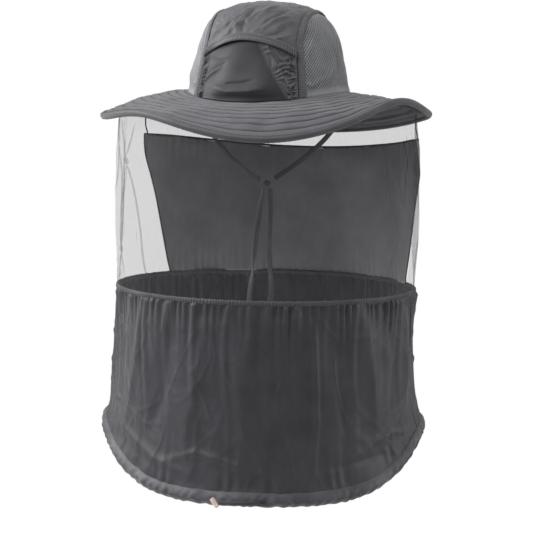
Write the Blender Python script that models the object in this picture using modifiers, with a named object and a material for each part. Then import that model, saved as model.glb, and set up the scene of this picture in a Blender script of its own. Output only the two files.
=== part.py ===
"""Wide-brimmed sun hat with a beekeeping veil sewn under its brim.

Metres, +Z up. The hat's front faces -Y, the wearer's left is +X. The origin is the centre of the
head opening, at the mean height of the seam between crown and brim.
An angle named theta starts at the front (-Y) and turns towards the wearer's left (+X).
"""
import math

import bpy
import numpy as np

MM = 0.001

# ---- driving dimensions ----------------------------------------------------------------------
CROWN_HALF_WIDTH = 86 * MM        # crown at its seam with the brim, left to right
CROWN_HALF_LENGTH = 104 * MM      # the same, front to back
CROWN_HEIGHT = 101 * MM
SEAM_RISE = 6 * MM                # the crown seam is this much higher at the sides, lower front and back
PANEL_SEAM_ANGLE = 42.0           # degrees from the front to the seam of the side mesh
SEAM_TURN_SHARE = 0.55            # share of the crown's height where that seam turns over the top

BRIM_HALF_WIDTH = 172 * MM
BRIM_HALF_LENGTH = 185 * MM
BRIM_EDGE_FRONT = -37.5 * MM        # height of the brim's edge at front and back
BRIM_EDGE_SIDE = -17.5 * MM         # height of the brim's edge at the sides
# The wired edge stands in soft waves: angle, width of the wave in degrees, rise, and reach outwards.
BRIM_WAVES = [(-75.0, 28.0, -3 * MM, 6 * MM), (-30.0, 23.0, 15 * MM, 0.0), (18.0, 18.0, -4.5 * MM, 0.0),
              (66.0, 20.0, 20 * MM, 0.0), (110.0, 30.0, 3 * MM, 0.0)]
BRIM_WAVE_POWER = 3.0             # the waves fade towards the crown as this power of the share
VEIL_SEAM_SHARE = 0.86            # where the veil hangs, as a share of the brim's width

WAIST_HALF_WIDTH = 161 * MM     # the binding between face mesh and skirt
WAIST_HALF_LENGTH = 165 * MM
WAIST_HEIGHT = -206 * MM
WAIST_BAND = 5 * MM

HEM_RADIUS = 172 * MM
HEM_HEIGHT = -406.5 * MM
HEM_SIDE_RISE = 55 * MM           # the hem rides up over the shoulders
HEM_TURN = 13.5                   # degrees that the shoulders are turned from the head

CLOTH = 1.0 * MM                  # thickness of each single layer
THIN = 0.8 * MM
GAP = 0.35 * MM                   # clearance between layers that lie on each other
EDGE_GAP = 0.6 * MM               # clearance between the edges of two panels in a seam
ASSEMBLY_GAP = 1.2 * MM           # between the crown's lower edge and the brim

SEAM_TAPE_SHARE = 0.06            # half width of the seam tape, as a share of the seam's angle
POCKET_HEIGHT_MIDDLE = 62 * MM
POCKET_HEIGHT_EDGE = 46 * MM
POCKET_BAND = 7 * MM
POCKET_EDGE_SHARE = 0.90          # pocket's side edge, as a share of the seam's angle
POCKET_ELASTIC = 5 * MM
SWEATBAND_HEIGHT = 32 * MM
ATTACHMENT_TAPE = 8 * MM
EDGE_WIRE_RADIUS = 0.9 * MM
BINDING_WIDTH = 6 * MM

NECK_PANEL_DROP = 24 * MM         # strip of mesh above the opaque neck panel
NECK_HALF_ANGLE_TOP = 78.0        # degrees from the back to the panel's side edge
NECK_HALF_ANGLE_WAIST = 60.0

CASING_HALF_DEPTH = 4.2 * MM
CASING_TOP = 9 * MM
CASING_BOTTOM = -4.8 * MM
SKIRT_FLARE_POWER = 7.0            # the skirt falls straight and widens to the hem as this power of its drop
SKIRT_TUCK = 6.5 * MM             # height above the hem's centre where the skirt's edge ends
ELASTIC_RADIUS = 1.5 * MM
ELASTIC_GAP_START = 7.0           # degrees; the elastic is open here, where the tail leaves the casing
ELASTIC_GAP_END = 24.0
SLOT_ANGLE = 15.0                 # degrees; the buttonhole for the drawcord
SLOT_LENGTH = 12 * MM
SLOT_HEIGHT = 4 * MM
STITCH_RADIUS = 0.5 * MM

STRAP_RADIUS = 1.5 * MM
TAIL_RADIUS = 1.5 * MM
END_TAB = (4 * MM, 3.4 * MM, 11 * MM)
END_TAB_TILT = 38.0
ANCHOR_TAB = (12 * MM, 2 * MM, 14 * MM)
ANCHOR_INSET = 3.4 * MM           # from the brim's inner edge to the middle of the anchor tab
KNOT_RADIUS = 5 * MM

RING_COLUMNS = 40
FRONT_COLUMNS = 24                # columns of the veil ahead of the neck panel; the rest are behind it

# Routes of the cords, in metres, from where each leaves the object to its free end.
STRAP_LEFT_ROUTE = [
    (0.0830, 0.0100, -0.0090), (0.0812, 0.0085, -0.0150), (0.0782, 0.0058, -0.0220),
    (0.0738, 0.0018, -0.0300), (0.0680, -0.0034, -0.0390), (0.0608, -0.0098, -0.0485),
    (0.0524, -0.0170, -0.0580), (0.0430, -0.0245, -0.0672), (0.0334, -0.0312, -0.0752),
    (0.0246, -0.0366, -0.0820), (0.0186, -0.0396, -0.0866),
]
STRAP_RIGHT_ROUTE = [
    (-0.0830, 0.0100, -0.0090), (-0.0808, 0.0080, -0.0155), (-0.0768, 0.0044, -0.0235),
    (-0.0706, -0.0008, -0.0325), (-0.0622, -0.0072, -0.0425), (-0.0518, -0.0142, -0.0525),
    (-0.0400, -0.0214, -0.0622), (-0.0276, -0.0282, -0.0712), (-0.0156, -0.0340, -0.0790),
    (-0.0052, -0.0380, -0.0848), (0.0022, -0.0400, -0.0880),
]
TAIL_LEFT_ROUTE = [
    (0.0144, -0.0410, -0.0972), (0.0150, -0.0410, -0.1080), (0.0150, -0.0408, -0.1220),
    (0.0144, -0.0404, -0.1370), (0.0138, -0.0400, -0.1520), (0.0138, -0.0396, -0.1660),
    (0.0148, -0.0390, -0.1800), (0.0164, -0.0384, -0.1930), (0.0172, -0.0378, -0.2050),
    (0.0160, -0.0374, -0.2170), (0.0140, -0.0372, -0.2290), (0.0124, -0.0370, -0.2420),
    (0.0116, -0.0370, -0.2560), (0.0114, -0.0372, -0.2700),
]
TAIL_RIGHT_ROUTE = [
    (0.0064, -0.0410, -0.0972), (0.0048, -0.0412, -0.1080), (0.0030, -0.0414, -0.1220),
    (0.0012, -0.0414, -0.1370), (-0.0004, -0.0412, -0.1520), (-0.0016, -0.0408, -0.1660),
    (-0.0030, -0.0402, -0.1800), (-0.0048, -0.0396, -0.1930), (-0.0064, -0.0390, -0.2050),
    (-0.0074, -0.0386, -0.2170), (-0.0078, -0.0384, -0.2290), (-0.0076, -0.0382, -0.2420),
    (-0.0070, -0.0382, -0.2560), (-0.0064, -0.0384, -0.2700),
]
# The drawcord's tail: degrees from the front, distance outside the hem's centre line, height above it.
DRAWCORD_ROUTE = [
    (21.5, 0.0000, 0.0000), (19.5, 0.0001, 0.0000), (18.0, 0.0006, 0.0001), (16.6, 0.0021, 0.0002),
    (15.4, 0.0045, 0.0002), (14.2, 0.0067, 0.0001), (12.8, 0.0084, 0.0000), (11.0, 0.0091, -0.0002),
    (8.8, 0.0092, -0.0004), (6.4, 0.0091, -0.0006), (4.0, 0.0089, -0.0008), (1.9, 0.0087, -0.0010),
]

# ---- colours (sRGB) and finish ---------------------------------------------------------------
COLOURS = {
    "crown_cloth": ((0.42, 0.42, 0.44), 0.85),
    "pocket_cloth": ((0.28, 0.28, 0.30), 0.80),
    "vent_mesh": ((0.46, 0.46, 0.48), 0.85),
    "trim_tape": ((0.22, 0.22, 0.24), 0.80),
    "brim_cloth": ((0.44, 0.44, 0.46), 0.85),
    "stiffener": ((0.80, 0.80, 0.78), 0.90),
    "steel_wire": ((0.60, 0.60, 0.62), 0.35),
    "elastic": ((0.16, 0.16, 0.17), 0.80),
    "veil_mesh": ((0.62, 0.62, 0.64), 0.80),
    "neck_cloth": ((0.36, 0.36, 0.38), 0.85),
    "skirt_cloth": ((0.30, 0.30, 0.32), 0.75),
    "tape": ((0.32, 0.32, 0.34), 0.75),
    "end_tab": ((0.82, 0.68, 0.64), 0.60),
}
METALS = {"steel_wire"}


def linear(channel):
    """sRGB channel to linear light."""
    return channel / 12.92 if channel <= 0.04045 else ((channel + 0.055) / 1.055) ** 2.4


def clear_scene():
    """Remove everything, and make one collection for the parts and one for the cutters."""
    for obj in list(bpy.data.objects):
        bpy.data.objects.remove(obj, do_unlink=True)
    made = []
    for name in ("beekeeping_veil", "cutters"):
        collection = bpy.data.collections.new(name)
        bpy.context.scene.collection.children.link(collection)
        made.append(collection)
    return made


PARTS, CUTTERS = clear_scene()


def finish(obj, name, colour):
    """Name the part, put it in the collection and give it a material of its own."""
    obj.name = name
    obj.data.name = name
    for collection in list(obj.users_collection):
        collection.objects.unlink(obj)
    PARTS.objects.link(obj)
    material = bpy.data.materials.new(name)
    material.use_nodes = True
    shader = material.node_tree.nodes["Principled BSDF"]
    srgb, roughness = COLOURS[colour]
    shader.inputs["Base Color"].default_value = (*[linear(c) for c in srgb], 1)
    shader.inputs["Roughness"].default_value = roughness
    shader.inputs["Metallic"].default_value = 1.0 if colour in METALS else 0.0
    obj.data.materials.clear()
    obj.data.materials.append(material)
    return obj


# ---- surfaces of the design ------------------------------------------------------------------
def oval(half_x, half_y, theta):
    """Point of an oval ring at theta: (half_x sin, -half_y cos)."""
    return half_x * np.sin(theta), -half_y * np.cos(theta)


def crown_girth(share):
    """Crown's girth at a share of its height: a tapered wall under a superellipse's top."""
    top = np.clip(1 - np.abs(share) ** 6, 0, 1) ** (1 / 2.2)
    return (1 - 0.22 * share) * top


GIRTH_SHARES = np.sin(np.linspace(0, math.pi / 2, 400))
SEAM_GIRTH = float(crown_girth(np.array(SEAM_TURN_SHARE)))
SEAM_ANGLE = math.radians(PANEL_SEAM_ANGLE)


def crown_share(girth):
    """Share of the crown's height at which it has this girth: the inverse of crown_girth."""
    table = crown_girth(GIRTH_SHARES)
    return np.interp(-girth, -table, GIRTH_SHARES)


def seam_height(theta):
    """Height of the seam between crown and brim."""
    return -SEAM_RISE * np.cos(2 * theta)


def crown_wall(theta, height, lift):
    """Point of the crown's wall at an angle and height, lifted off the surface."""
    girth = crown_girth(height / CROWN_HEIGHT)
    x, y = oval((CROWN_HALF_WIDTH + lift) * girth, (CROWN_HALF_LENGTH + lift) * girth, theta)
    return np.stack([x, y, height + lift * np.clip(height / CROWN_HEIGHT, 0, 1)], -1)


def crown_strip(across, along, lift):
    """Point of a strip that runs from the front seam over the top to the back seam.

    across is -1 to 1 between the side seams. along is 0 to 1: up the front wall, over the top with
    x held constant, and down the back wall."""
    theta = across * SEAM_ANGLE
    turn = SEAM_TURN_SHARE * CROWN_HEIGHT
    wall = 0.3
    base = seam_height(theta) + ASSEMBLY_GAP
    up = np.clip(np.minimum(along, 1 - along) / wall, 0, 1)
    side = crown_wall(np.where(along < 0.5, theta, math.pi - theta), base + (turn - base) * up, lift)
    width, length = CROWN_HALF_WIDTH + lift, CROWN_HALF_LENGTH + lift
    over = np.clip((along - wall) / (1 - 2 * wall), 0, 1)
    x = width * SEAM_GIRTH * np.sin(theta)
    y = -length * SEAM_GIRTH * np.cos(theta) * np.cos(math.pi * over)
    girth = np.hypot(x / width, y / length)
    share = crown_share(girth)
    top = np.stack([x, y, (CROWN_HEIGHT + lift) * share], -1)
    on_top = (along > wall) & (along < 1 - wall)
    return np.where(on_top[..., None], top, side)


def brim_wave(theta):
    """Rise and outward reach of the brim's edge at theta: a bell for each wave."""
    rise, reach = 0 * theta, 0 * theta
    for angle, width, up, out in BRIM_WAVES:
        away = (np.degrees(theta) - angle + 180) % 360 - 180
        bell = np.exp(-(away / width) ** 2)
        rise, reach = rise + up * bell, reach + out * bell
    return rise, reach


def brim_flat(share, theta):
    """Middle of the brim's upper face: share 0 at the crown, 1 at the edge, drooping towards the edge."""
    rise, reach = brim_wave(theta)
    wave = np.abs(share) ** BRIM_WAVE_POWER
    inner_x, inner_y = oval(CROWN_HALF_WIDTH - THIN, CROWN_HALF_LENGTH - THIN, theta)
    outer_x, outer_y = oval(BRIM_HALF_WIDTH + reach * wave, BRIM_HALF_LENGTH + reach * wave, theta)
    middle = (BRIM_EDGE_FRONT + BRIM_EDGE_SIDE) / 2
    half = (BRIM_EDGE_SIDE - BRIM_EDGE_FRONT) / 2
    drop = seam_height(theta) - (middle - half * np.cos(2 * theta))
    height = seam_height(theta) - drop * (0.3 * share + 0.7 * np.abs(share) ** 2.5) + rise * wave
    return np.stack([inner_x + (outer_x - inner_x) * share, inner_y + (outer_y - inner_y) * share,
                     height], -1)


def unit(vectors):
    """Vectors scaled to length one."""
    return vectors / np.linalg.norm(vectors, axis=-1, keepdims=True)


def brim_frame(share, theta):
    """Point of the brim with its outward tangent and its upward normal."""
    step = 1e-4
    tangent = unit(brim_flat(share, theta) - brim_flat(share - step, theta))
    along = brim_flat(share, theta + step) - brim_flat(share, theta - step)
    return brim_flat(share, theta), tangent, unit(np.cross(tangent, along))


def brim_point(share, theta, lift):
    """Point of the brim, lifted along its normal."""
    point, _, normal = brim_frame(share, theta)
    return point + lift * normal


BRIM_LAYER = CLOTH + GAP
BRIM_LIFTS = {"brim_upper": -0.5 * CLOTH, "brim_stiffener": -0.5 * CLOTH - BRIM_LAYER,
              "brim_lower": -0.5 * CLOTH - 2 * BRIM_LAYER}
BRIM_THICKNESS = 3 * CLOTH + 2 * GAP
TAPE_HALF_SHARE = ATTACHMENT_TAPE / 2 / (BRIM_HALF_WIDTH - CROWN_HALF_WIDTH)
TAPE_SHARES = VEIL_SEAM_SHARE + TAPE_HALF_SHARE * np.array([-1.0, 1.0])
BRIM_SHARES = np.concatenate([[0.0, 0.3, 0.58], TAPE_SHARES, [0.96, 1.0]])
VEIL_TOP_LIFT = -BRIM_THICKNESS - GAP - THIN - GAP - 0.5 * THIN


def hem_line(theta):
    """Centre line of the hem: a ring that rises over both shoulders."""
    x, y = oval(HEM_RADIUS, HEM_RADIUS, theta)
    rise = HEM_SIDE_RISE * np.abs(np.sin(theta - math.radians(HEM_TURN))) ** 5
    return np.stack([x, y, HEM_HEIGHT + rise], -1)


def hem_point(theta, out, up):
    """Point beside the hem's centre line: out from the axis, and up."""
    x, y = oval(out, out, theta)
    return hem_line(theta) + np.stack([x, y, up + 0 * x], -1)


def veil_point(down, theta):
    """Point of the veil between the brim (down = 0) and the waist binding (down = 1)."""
    top = brim_point(np.full_like(theta, VEIL_SEAM_SHARE), theta, VEIL_TOP_LIFT)
    x, y = oval(WAIST_HALF_WIDTH, WAIST_HALF_LENGTH, theta)
    bottom = np.stack([x, y, 0 * x + WAIST_HEIGHT + WAIST_BAND / 2 + GAP], -1)
    spread = (1 - (1 - down) ** 4)[..., None]
    fall = down[..., None]
    point = top + (bottom - top) * spread
    point[..., 2] = (top + (bottom - top) * fall)[..., 2]
    return point


def skirt_point(down, theta):
    """Point of the skirt between the waist binding (down = 0) and the hem casing (down = 1)."""
    x, y = oval(WAIST_HALF_WIDTH, WAIST_HALF_LENGTH, theta)
    top = np.stack([x, y, 0 * x + WAIST_HEIGHT - WAIST_BAND / 2 - GAP], -1)
    bottom = hem_point(theta, 0.0, SKIRT_TUCK)
    flare = (down ** SKIRT_FLARE_POWER)[..., None]
    fall = down[..., None]
    point = top + (bottom - top) * flare
    point[..., 2] = (top + (bottom - top) * fall)[..., 2]
    return point


SKIRT_ROWS = np.array([0.0, 0.3, 0.6, 0.78, 0.9, 1.0])


def casing_lip(theta, out):
    """Point of a casing lip: beside the skirt's straight lowest strip, at the height of the lips."""
    low = skirt_point(np.full_like(theta, SKIRT_ROWS[-1]), theta)
    high = skirt_point(np.full_like(theta, SKIRT_ROWS[-2]), theta)
    rise = (CASING_TOP - SKIRT_TUCK) / (high[..., 2] - low[..., 2])
    x, y = oval(out, out, theta)
    return low + (high - low) * rise[..., None] + np.stack([x, y, 0 * x], -1)


# ---- builders --------------------------------------------------------------------------------
def grid_faces(rows, columns, closed, keep):
    """Quads of a grid of rows x columns points; keep says which cells are made."""
    across = columns if closed else columns - 1
    faces = []
    for row in range(rows - 1):
        for column in range(across):
            if keep is None or keep(row, column):
                right = (column + 1) % columns
                faces.append((row * columns + column, row * columns + right,
                              (row + 1) * columns + right, (row + 1) * columns + column))
    return faces


def sheet(name, colour, points, thickness, closed=False, keep=None):
    """A layer of cloth: an open surface through a grid of points, given its thickness."""
    rows, columns = points.shape[:2]
    faces = grid_faces(rows, columns, closed, keep)
    used = sorted({index for face in faces for index in face})
    renumber = {old: new for new, old in enumerate(used)}
    mesh = bpy.data.meshes.new(name)
    flat = points.reshape(-1, 3)[used]
    mesh.from_pydata(flat.tolist(), [], [[renumber[i] for i in face] for face in faces])
    mesh.update()
    mesh.shade_smooth()
    obj = bpy.data.objects.new(name, mesh)
    PARTS.objects.link(obj)
    wall = obj.modifiers.new("wall", "SOLIDIFY")
    wall.thickness = thickness
    wall.offset = 0.0
    return finish(obj, name, colour)


def ring_angles(columns=RING_COLUMNS):
    """Equal angles all round, starting at the front."""
    return np.arange(columns) * (2 * math.pi / columns)


def grid(rows, columns):
    """Two arrays that hold each grid point's row value and column value."""
    return np.meshgrid(rows, columns, indexing="ij")


def smooth_route(points, spacing):
    """Evenly spaced points on a smooth Catmull-Rom curve through the route's own points."""
    route = np.array(points, float)
    ends = np.vstack([2 * route[0] - route[1], route, 2 * route[-1] - route[-2]])
    t = np.linspace(0, 1, 12, endpoint=False)[:, None]
    pieces = []
    for a, b, c, d in zip(ends[:-3], ends[1:-2], ends[2:-1], ends[3:]):
        pieces.append(0.5 * (2 * b + (c - a) * t + (2 * a - 5 * b + 4 * c - d) * t ** 2
                             + (3 * b - a - 3 * c + d) * t ** 3))
    dense = np.vstack([*pieces, route[-1:]])
    run = np.concatenate([[0], np.cumsum(np.linalg.norm(np.diff(dense, axis=0), axis=1))])
    count = max(2, round(run[-1] / spacing) + 1)
    even = np.linspace(0, run[-1], count)
    return np.stack([np.interp(even, run, dense[:, axis]) for axis in range(3)], -1)


def tube(name, colour, points, radius, cyclic=False):
    """A round cord or wire along the points."""
    curve = bpy.data.curves.new(name, "CURVE")
    curve.dimensions = "3D"
    spline = curve.splines.new("POLY")
    spline.points.add(len(points) - 1)
    spline.points.foreach_set("co", np.c_[points, np.ones(len(points))].ravel())
    spline.use_cyclic_u = cyclic
    curve.bevel_depth = radius
    curve.bevel_resolution = 2
    curve.use_fill_caps = True
    obj = bpy.data.objects.new(name, curve)
    PARTS.objects.link(obj)
    return finish(obj, name, colour)


# ---- crown -----------------------------------------------------------------------------------
def make_crown():
    """Centre panel, two mesh side panels, their seam tapes and the sweatband."""
    edge = 1 - EDGE_GAP / (CROWN_HALF_WIDTH * SEAM_ANGLE)
    along = np.concatenate([np.linspace(0, 0.3, 5), 0.3 + 0.4 * np.linspace(0, 1, 13)[1:-1],
                            np.linspace(0.7, 1, 5)])
    rows, columns = grid(along, np.linspace(-edge, edge, 9))
    sheet("crown_center_panel", "crown_cloth", crown_strip(columns, rows, 0.0), CLOTH)

    for side, sign in (("left", 1), ("right", -1)):
        rows, columns = grid(along, sign * np.array([1 - SEAM_TAPE_SHARE, 1.0, 1 + SEAM_TAPE_SHARE]))
        lift = CLOTH / 2 + 2 * GAP + THIN / 2
        sheet(f"crown_seam_tape_{side}", "trim_tape", crown_strip(columns, rows, lift), THIN)

        theta = np.linspace(SEAM_ANGLE, math.pi - SEAM_ANGLE, 15)
        rows, theta = grid(np.sin(np.linspace(0, 1, 8) * math.pi / 2), theta)
        plane = SEAM_GIRTH * math.sin(SEAM_ANGLE)
        base = seam_height(theta) + ASSEMBLY_GAP
        top = CROWN_HEIGHT * crown_share(plane / np.sin(theta))
        panel = crown_wall(sign * theta, base + (top - base) * rows, 0.0)
        sheet(f"crown_side_mesh_{side}", "vent_mesh", panel, CLOTH)

    rows, theta = grid(np.linspace(0, 1, 3), ring_angles())
    height = seam_height(theta) + ASSEMBLY_GAP + GAP + SWEATBAND_HEIGHT * rows
    lift = -CLOTH / 2 - 2 * GAP - CLOTH / 2
    sheet("sweatband", "trim_tape", crown_wall(theta, height, lift), CLOTH, closed=True)


def pocket_top(across):
    """Height of the pocket's arched mouth."""
    return POCKET_HEIGHT_EDGE + (POCKET_HEIGHT_MIDDLE - POCKET_HEIGHT_EDGE) * (1 - across ** 2)


def make_pocket():
    """Flat stow pocket on the crown's front: panel, hem band of its mouth, elastic in both sides."""
    lift = CLOTH / 2 + 1.3 * MM + THIN / 2
    share = np.linspace(-1, 1, 9)
    rows, across = grid(np.linspace(0, 1, 6), share)
    theta = across * POCKET_EDGE_SHARE * SEAM_ANGLE
    base = seam_height(theta) + ASSEMBLY_GAP + GAP
    top = pocket_top(across)
    panel = crown_wall(theta, base + (top - base) * rows, lift)
    sheet("crown_front_pocket", "pocket_cloth", panel, THIN)

    rows, across = grid(np.array([-1.0, 0.0]), share)
    theta = across * POCKET_EDGE_SHARE * SEAM_ANGLE
    band = crown_wall(theta, pocket_top(across) + POCKET_BAND * rows, lift + THIN + GAP)
    sheet("pocket_hem_band", "crown_cloth", band, THIN)

    inner = POCKET_ELASTIC / CROWN_HALF_WIDTH
    for side, sign in (("left", 1), ("right", -1)):
        outer_edge = POCKET_EDGE_SHARE * SEAM_ANGLE - 1 * MM / CROWN_HALF_WIDTH
        rows, theta = grid(np.linspace(0, 1, 4), np.array([outer_edge - inner, outer_edge]))
        height = 2 * MM + (POCKET_HEIGHT_EDGE - POCKET_BAND - 4 * MM) * rows
        strip = crown_wall(sign * theta, height, CLOTH / 2 + 0.65 * MM)
        sheet(f"pocket_elastic_{side}", "elastic", strip, 0.5 * MM)


# ---- brim ------------------------------------------------------------------------------------
def make_brim():
    """Two cloth layers with a stiffener between them, an edge wire, its binding and the veil's tape."""
    colours = {"brim_upper": "brim_cloth", "brim_stiffener": "stiffener", "brim_lower": "brim_cloth"}
    rows, theta = grid(BRIM_SHARES, ring_angles())
    for name, lift in BRIM_LIFTS.items():
        sheet(name, colours[name], brim_point(rows, theta, lift), CLOTH, closed=True)

    theta = ring_angles()
    point, tangent, normal = brim_frame(np.ones_like(theta), theta)
    middle = point - BRIM_THICKNESS / 2 * normal
    wire_out = EDGE_WIRE_RADIUS + GAP
    tube("brim_edge_wire", "steel_wire", middle + wire_out * tangent, EDGE_WIRE_RADIUS, cyclic=True)

    high = BRIM_THICKNESS / 2 + GAP + THIN / 2
    nose = wire_out + EDGE_WIRE_RADIUS + GAP + THIN / 2
    profile = [(nose - BINDING_WIDTH, high), (0.2 * nose, high), (0.85 * nose, 0.55 * high), (nose, 0.0),
               (0.85 * nose, -0.55 * high), (0.2 * nose, -high), (nose - BINDING_WIDTH, -high)]
    binding = np.stack([middle + out * tangent + up * normal for out, up in profile])
    sheet("brim_edge_binding", "trim_tape", binding, THIN, closed=True)

    rows, theta = grid(TAPE_SHARES, ring_angles())
    lift = -BRIM_THICKNESS - GAP - THIN / 2
    sheet("veil_attachment_tape", "trim_tape", brim_point(rows, theta, lift), THIN, closed=True)


# ---- veil ------------------------------------------------------------------------------------
def veil_angles(down):
    """Angles of the veil's columns: the neck panel's columns stand between its two side edges."""
    half = NECK_HALF_ANGLE_TOP + (NECK_HALF_ANGLE_WAIST - NECK_HALF_ANGLE_TOP) * down
    edge = math.pi - math.radians(half)
    back = RING_COLUMNS - FRONT_COLUMNS
    front_part = -edge + 2 * edge * np.arange(FRONT_COLUMNS) / FRONT_COLUMNS
    back_part = edge + 2 * (math.pi - edge) * np.arange(back) / back
    return np.concatenate([front_part, back_part])


def make_veil():
    """Face mesh all round, with a window that the opaque neck panel fills."""
    depth = VEIL_TOP_LIFT + BRIM_EDGE_FRONT - WAIST_HEIGHT
    window_top = NECK_PANEL_DROP / depth
    downs = np.array([0.0, window_top, 0.36, 0.57, 0.78, 1.0])
    theta = np.stack([veil_angles(down) for down in downs])
    down = np.repeat(downs[:, None], RING_COLUMNS, 1)
    points = veil_point(down, theta)
    sheet("face_mesh", "veil_mesh", points, THIN, closed=True,
          keep=lambda row, column: row == 0 or column < FRONT_COLUMNS)

    margin = EDGE_GAP / WAIST_HALF_WIDTH
    panel_downs = np.concatenate([[window_top + EDGE_GAP / depth], downs[2:]])
    panel_theta = []
    for value in panel_downs:
        angles = np.append(veil_angles(value)[FRONT_COLUMNS:], 2 * math.pi + veil_angles(value)[0])
        angles[0] += margin
        angles[-1] -= margin
        panel_theta.append(angles)
    panel_theta = np.stack(panel_theta)
    down = np.repeat(panel_downs[:, None], panel_theta.shape[1], 1)
    sheet("rear_neck_panel", "neck_cloth", veil_point(down, panel_theta), CLOTH)


def make_waist():
    """Binding that joins the face mesh to the skirt."""
    rows, theta = grid(np.array([-0.5, 0.5]) * WAIST_BAND, ring_angles())
    x, y = oval(WAIST_HALF_WIDTH, WAIST_HALF_LENGTH, theta)
    sheet("waist_binding", "trim_tape", np.stack([x, y, WAIST_HEIGHT + rows], -1), 2.4 * MM, closed=True)


def make_skirt():
    """Front and back skirt panels, which meet in the side seams."""
    margin = EDGE_GAP / 2 / WAIST_HALF_WIDTH
    half = math.pi / 2 - margin
    for name, middle in (("skirt_front", 0.0), ("skirt_back", math.pi)):
        rows, theta = grid(SKIRT_ROWS, middle + np.linspace(-half, half, RING_COLUMNS // 2 + 1))
        sheet(name, "skirt_cloth", skirt_point(rows, theta), CLOTH)


# ---- hem -------------------------------------------------------------------------------------
def slot_cutter():
    """Box that cuts the buttonhole through the casing's outer wall."""
    bpy.ops.mesh.primitive_cube_add(size=1)
    cutter = bpy.context.object
    cutter.name = "buttonhole_cutter"
    depth = 2.4 * MM
    for vertex in cutter.data.vertices:
        vertex.co = (vertex.co.x * SLOT_LENGTH, vertex.co.y * depth, vertex.co.z * SLOT_HEIGHT)
    theta = np.array(math.radians(SLOT_ANGLE))
    cutter.location = hem_point(theta, CASING_HALF_DEPTH, 0.0)
    cutter.rotation_euler = (0, 0, math.radians(SLOT_ANGLE))
    cutter.hide_render = True
    cutter.display_type = "WIRE"
    for collection in list(cutter.users_collection):
        collection.objects.unlink(cutter)
    CUTTERS.objects.link(cutter)
    return cutter


def make_hem():
    """Folded casing with its buttonhole, the elastic inside it and the stitching round the hole."""
    wall = CASING_HALF_DEPTH
    lip = CLOTH / 2 + 2 * GAP + THIN / 2
    profile = [(-wall, 3 * MM), (-wall, -2.6 * MM), (0.0, CASING_BOTTOM), (wall, -2.6 * MM),
               (wall, 3 * MM)]
    theta = ring_angles()
    points = np.stack([casing_lip(theta, -lip), *(hem_point(theta, out, up) for out, up in profile),
                       casing_lip(theta, lip)])
    casing = sheet("hem_casing", "skirt_cloth", points, THIN, closed=True)
    hole = casing.modifiers.new("buttonhole", "BOOLEAN")
    hole.operation = "DIFFERENCE"
    hole.solver = "EXACT"
    hole.object = slot_cutter()

    start, end = math.radians(ELASTIC_GAP_END), math.radians(360 + ELASTIC_GAP_START)
    theta = np.linspace(start, end, RING_COLUMNS)
    tube("hem_elastic", "elastic", hem_line(theta), ELASTIC_RADIUS)

    turn = np.linspace(0, 2 * math.pi, 20, endpoint=False)
    half_length = SLOT_LENGTH / 2 + STITCH_RADIUS
    half_height = SLOT_HEIGHT / 2 + STITCH_RADIUS
    along = half_length * np.sign(np.cos(turn)) * np.abs(np.cos(turn)) ** 0.6
    up = half_height * np.sign(np.sin(turn)) * np.abs(np.sin(turn)) ** 0.6
    theta = math.radians(SLOT_ANGLE) + along / (HEM_RADIUS + wall)
    out = wall + THIN / 2 + GAP + STITCH_RADIUS
    tube("drawcord_buttonhole", "elastic", hem_point(theta, out, up), STITCH_RADIUS, cyclic=True)


def drawcord_route():
    """The drawcord tail's route, in metres."""
    degrees, out, up = np.array(DRAWCORD_ROUTE).T
    return hem_point(np.radians(degrees), out, up)


def make_drawcord():
    """Tail of the drawcord outside the casing, and the tab on its end."""
    route = drawcord_route()
    tube("drawcord_tail", "elastic", smooth_route(route, 4 * MM), TAIL_RADIUS)
    tab = rounded_block("drawcord_end_tab", "end_tab", END_TAB, 1.0 * MM)
    direction = unit(route[-1] - route[-2])
    tab.location = route[-1] + direction * (END_TAB[0] / 2 + 1.9 * MM)
    tab.rotation_euler = (0, math.radians(-END_TAB_TILT), math.atan2(-direction[1], -direction[0]))


def rounded_block(name, colour, size, radius):
    """Block with rounded edges, centred on its origin."""
    bpy.ops.mesh.primitive_cube_add(size=1)
    block = bpy.context.object
    for vertex in block.data.vertices:
        vertex.co = tuple(value * length for value, length in zip(vertex.co, size))
    edge = block.modifiers.new("rounded", "BEVEL")
    edge.width = radius
    edge.segments = 2
    edge.limit_method = "ANGLE"
    return finish(block, name, colour)


# ---- chin straps -----------------------------------------------------------------------------
def make_chin_straps():
    """Anchor tabs inside the crown seam, two tie straps, their knot and two hanging tails."""
    routes = {"left": (STRAP_LEFT_ROUTE, TAIL_LEFT_ROUTE), "right": (STRAP_RIGHT_ROUTE, TAIL_RIGHT_ROUTE)}
    for side, (strap, tail) in routes.items():
        tube(f"chin_strap_{side}", "tape", smooth_route(strap, 6 * MM), STRAP_RADIUS)
        tube(f"chin_tail_{side}", "tape", smooth_route(tail, 7 * MM), TAIL_RADIUS)
        tab = rounded_block(f"chin_anchor_{side}", "trim_tape", ANCHOR_TAB, 0.5 * MM)
        inner_edge = math.copysign(CROWN_HALF_WIDTH - THIN - ANCHOR_INSET, strap[0][0])
        tab.location = (inner_edge, strap[0][1], strap[0][2] + STRAP_RADIUS + ANCHOR_TAB[2] / 2)
        tab.rotation_euler = (0, 0, math.pi / 2)
    knot_centre = (np.array(STRAP_LEFT_ROUTE[-1]) + np.array(STRAP_RIGHT_ROUTE[-1])
                   + np.array(TAIL_LEFT_ROUTE[0]) + np.array(TAIL_RIGHT_ROUTE[0])) / 4
    bpy.ops.mesh.primitive_ico_sphere_add(subdivisions=2, radius=KNOT_RADIUS)
    knot = bpy.context.object
    knot.location = knot_centre
    finish(knot, "chin_knot", "tape")


make_crown()
make_pocket()
make_brim()
make_veil()
make_waist()
make_skirt()
make_hem()
make_drawcord()
make_chin_straps()
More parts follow.
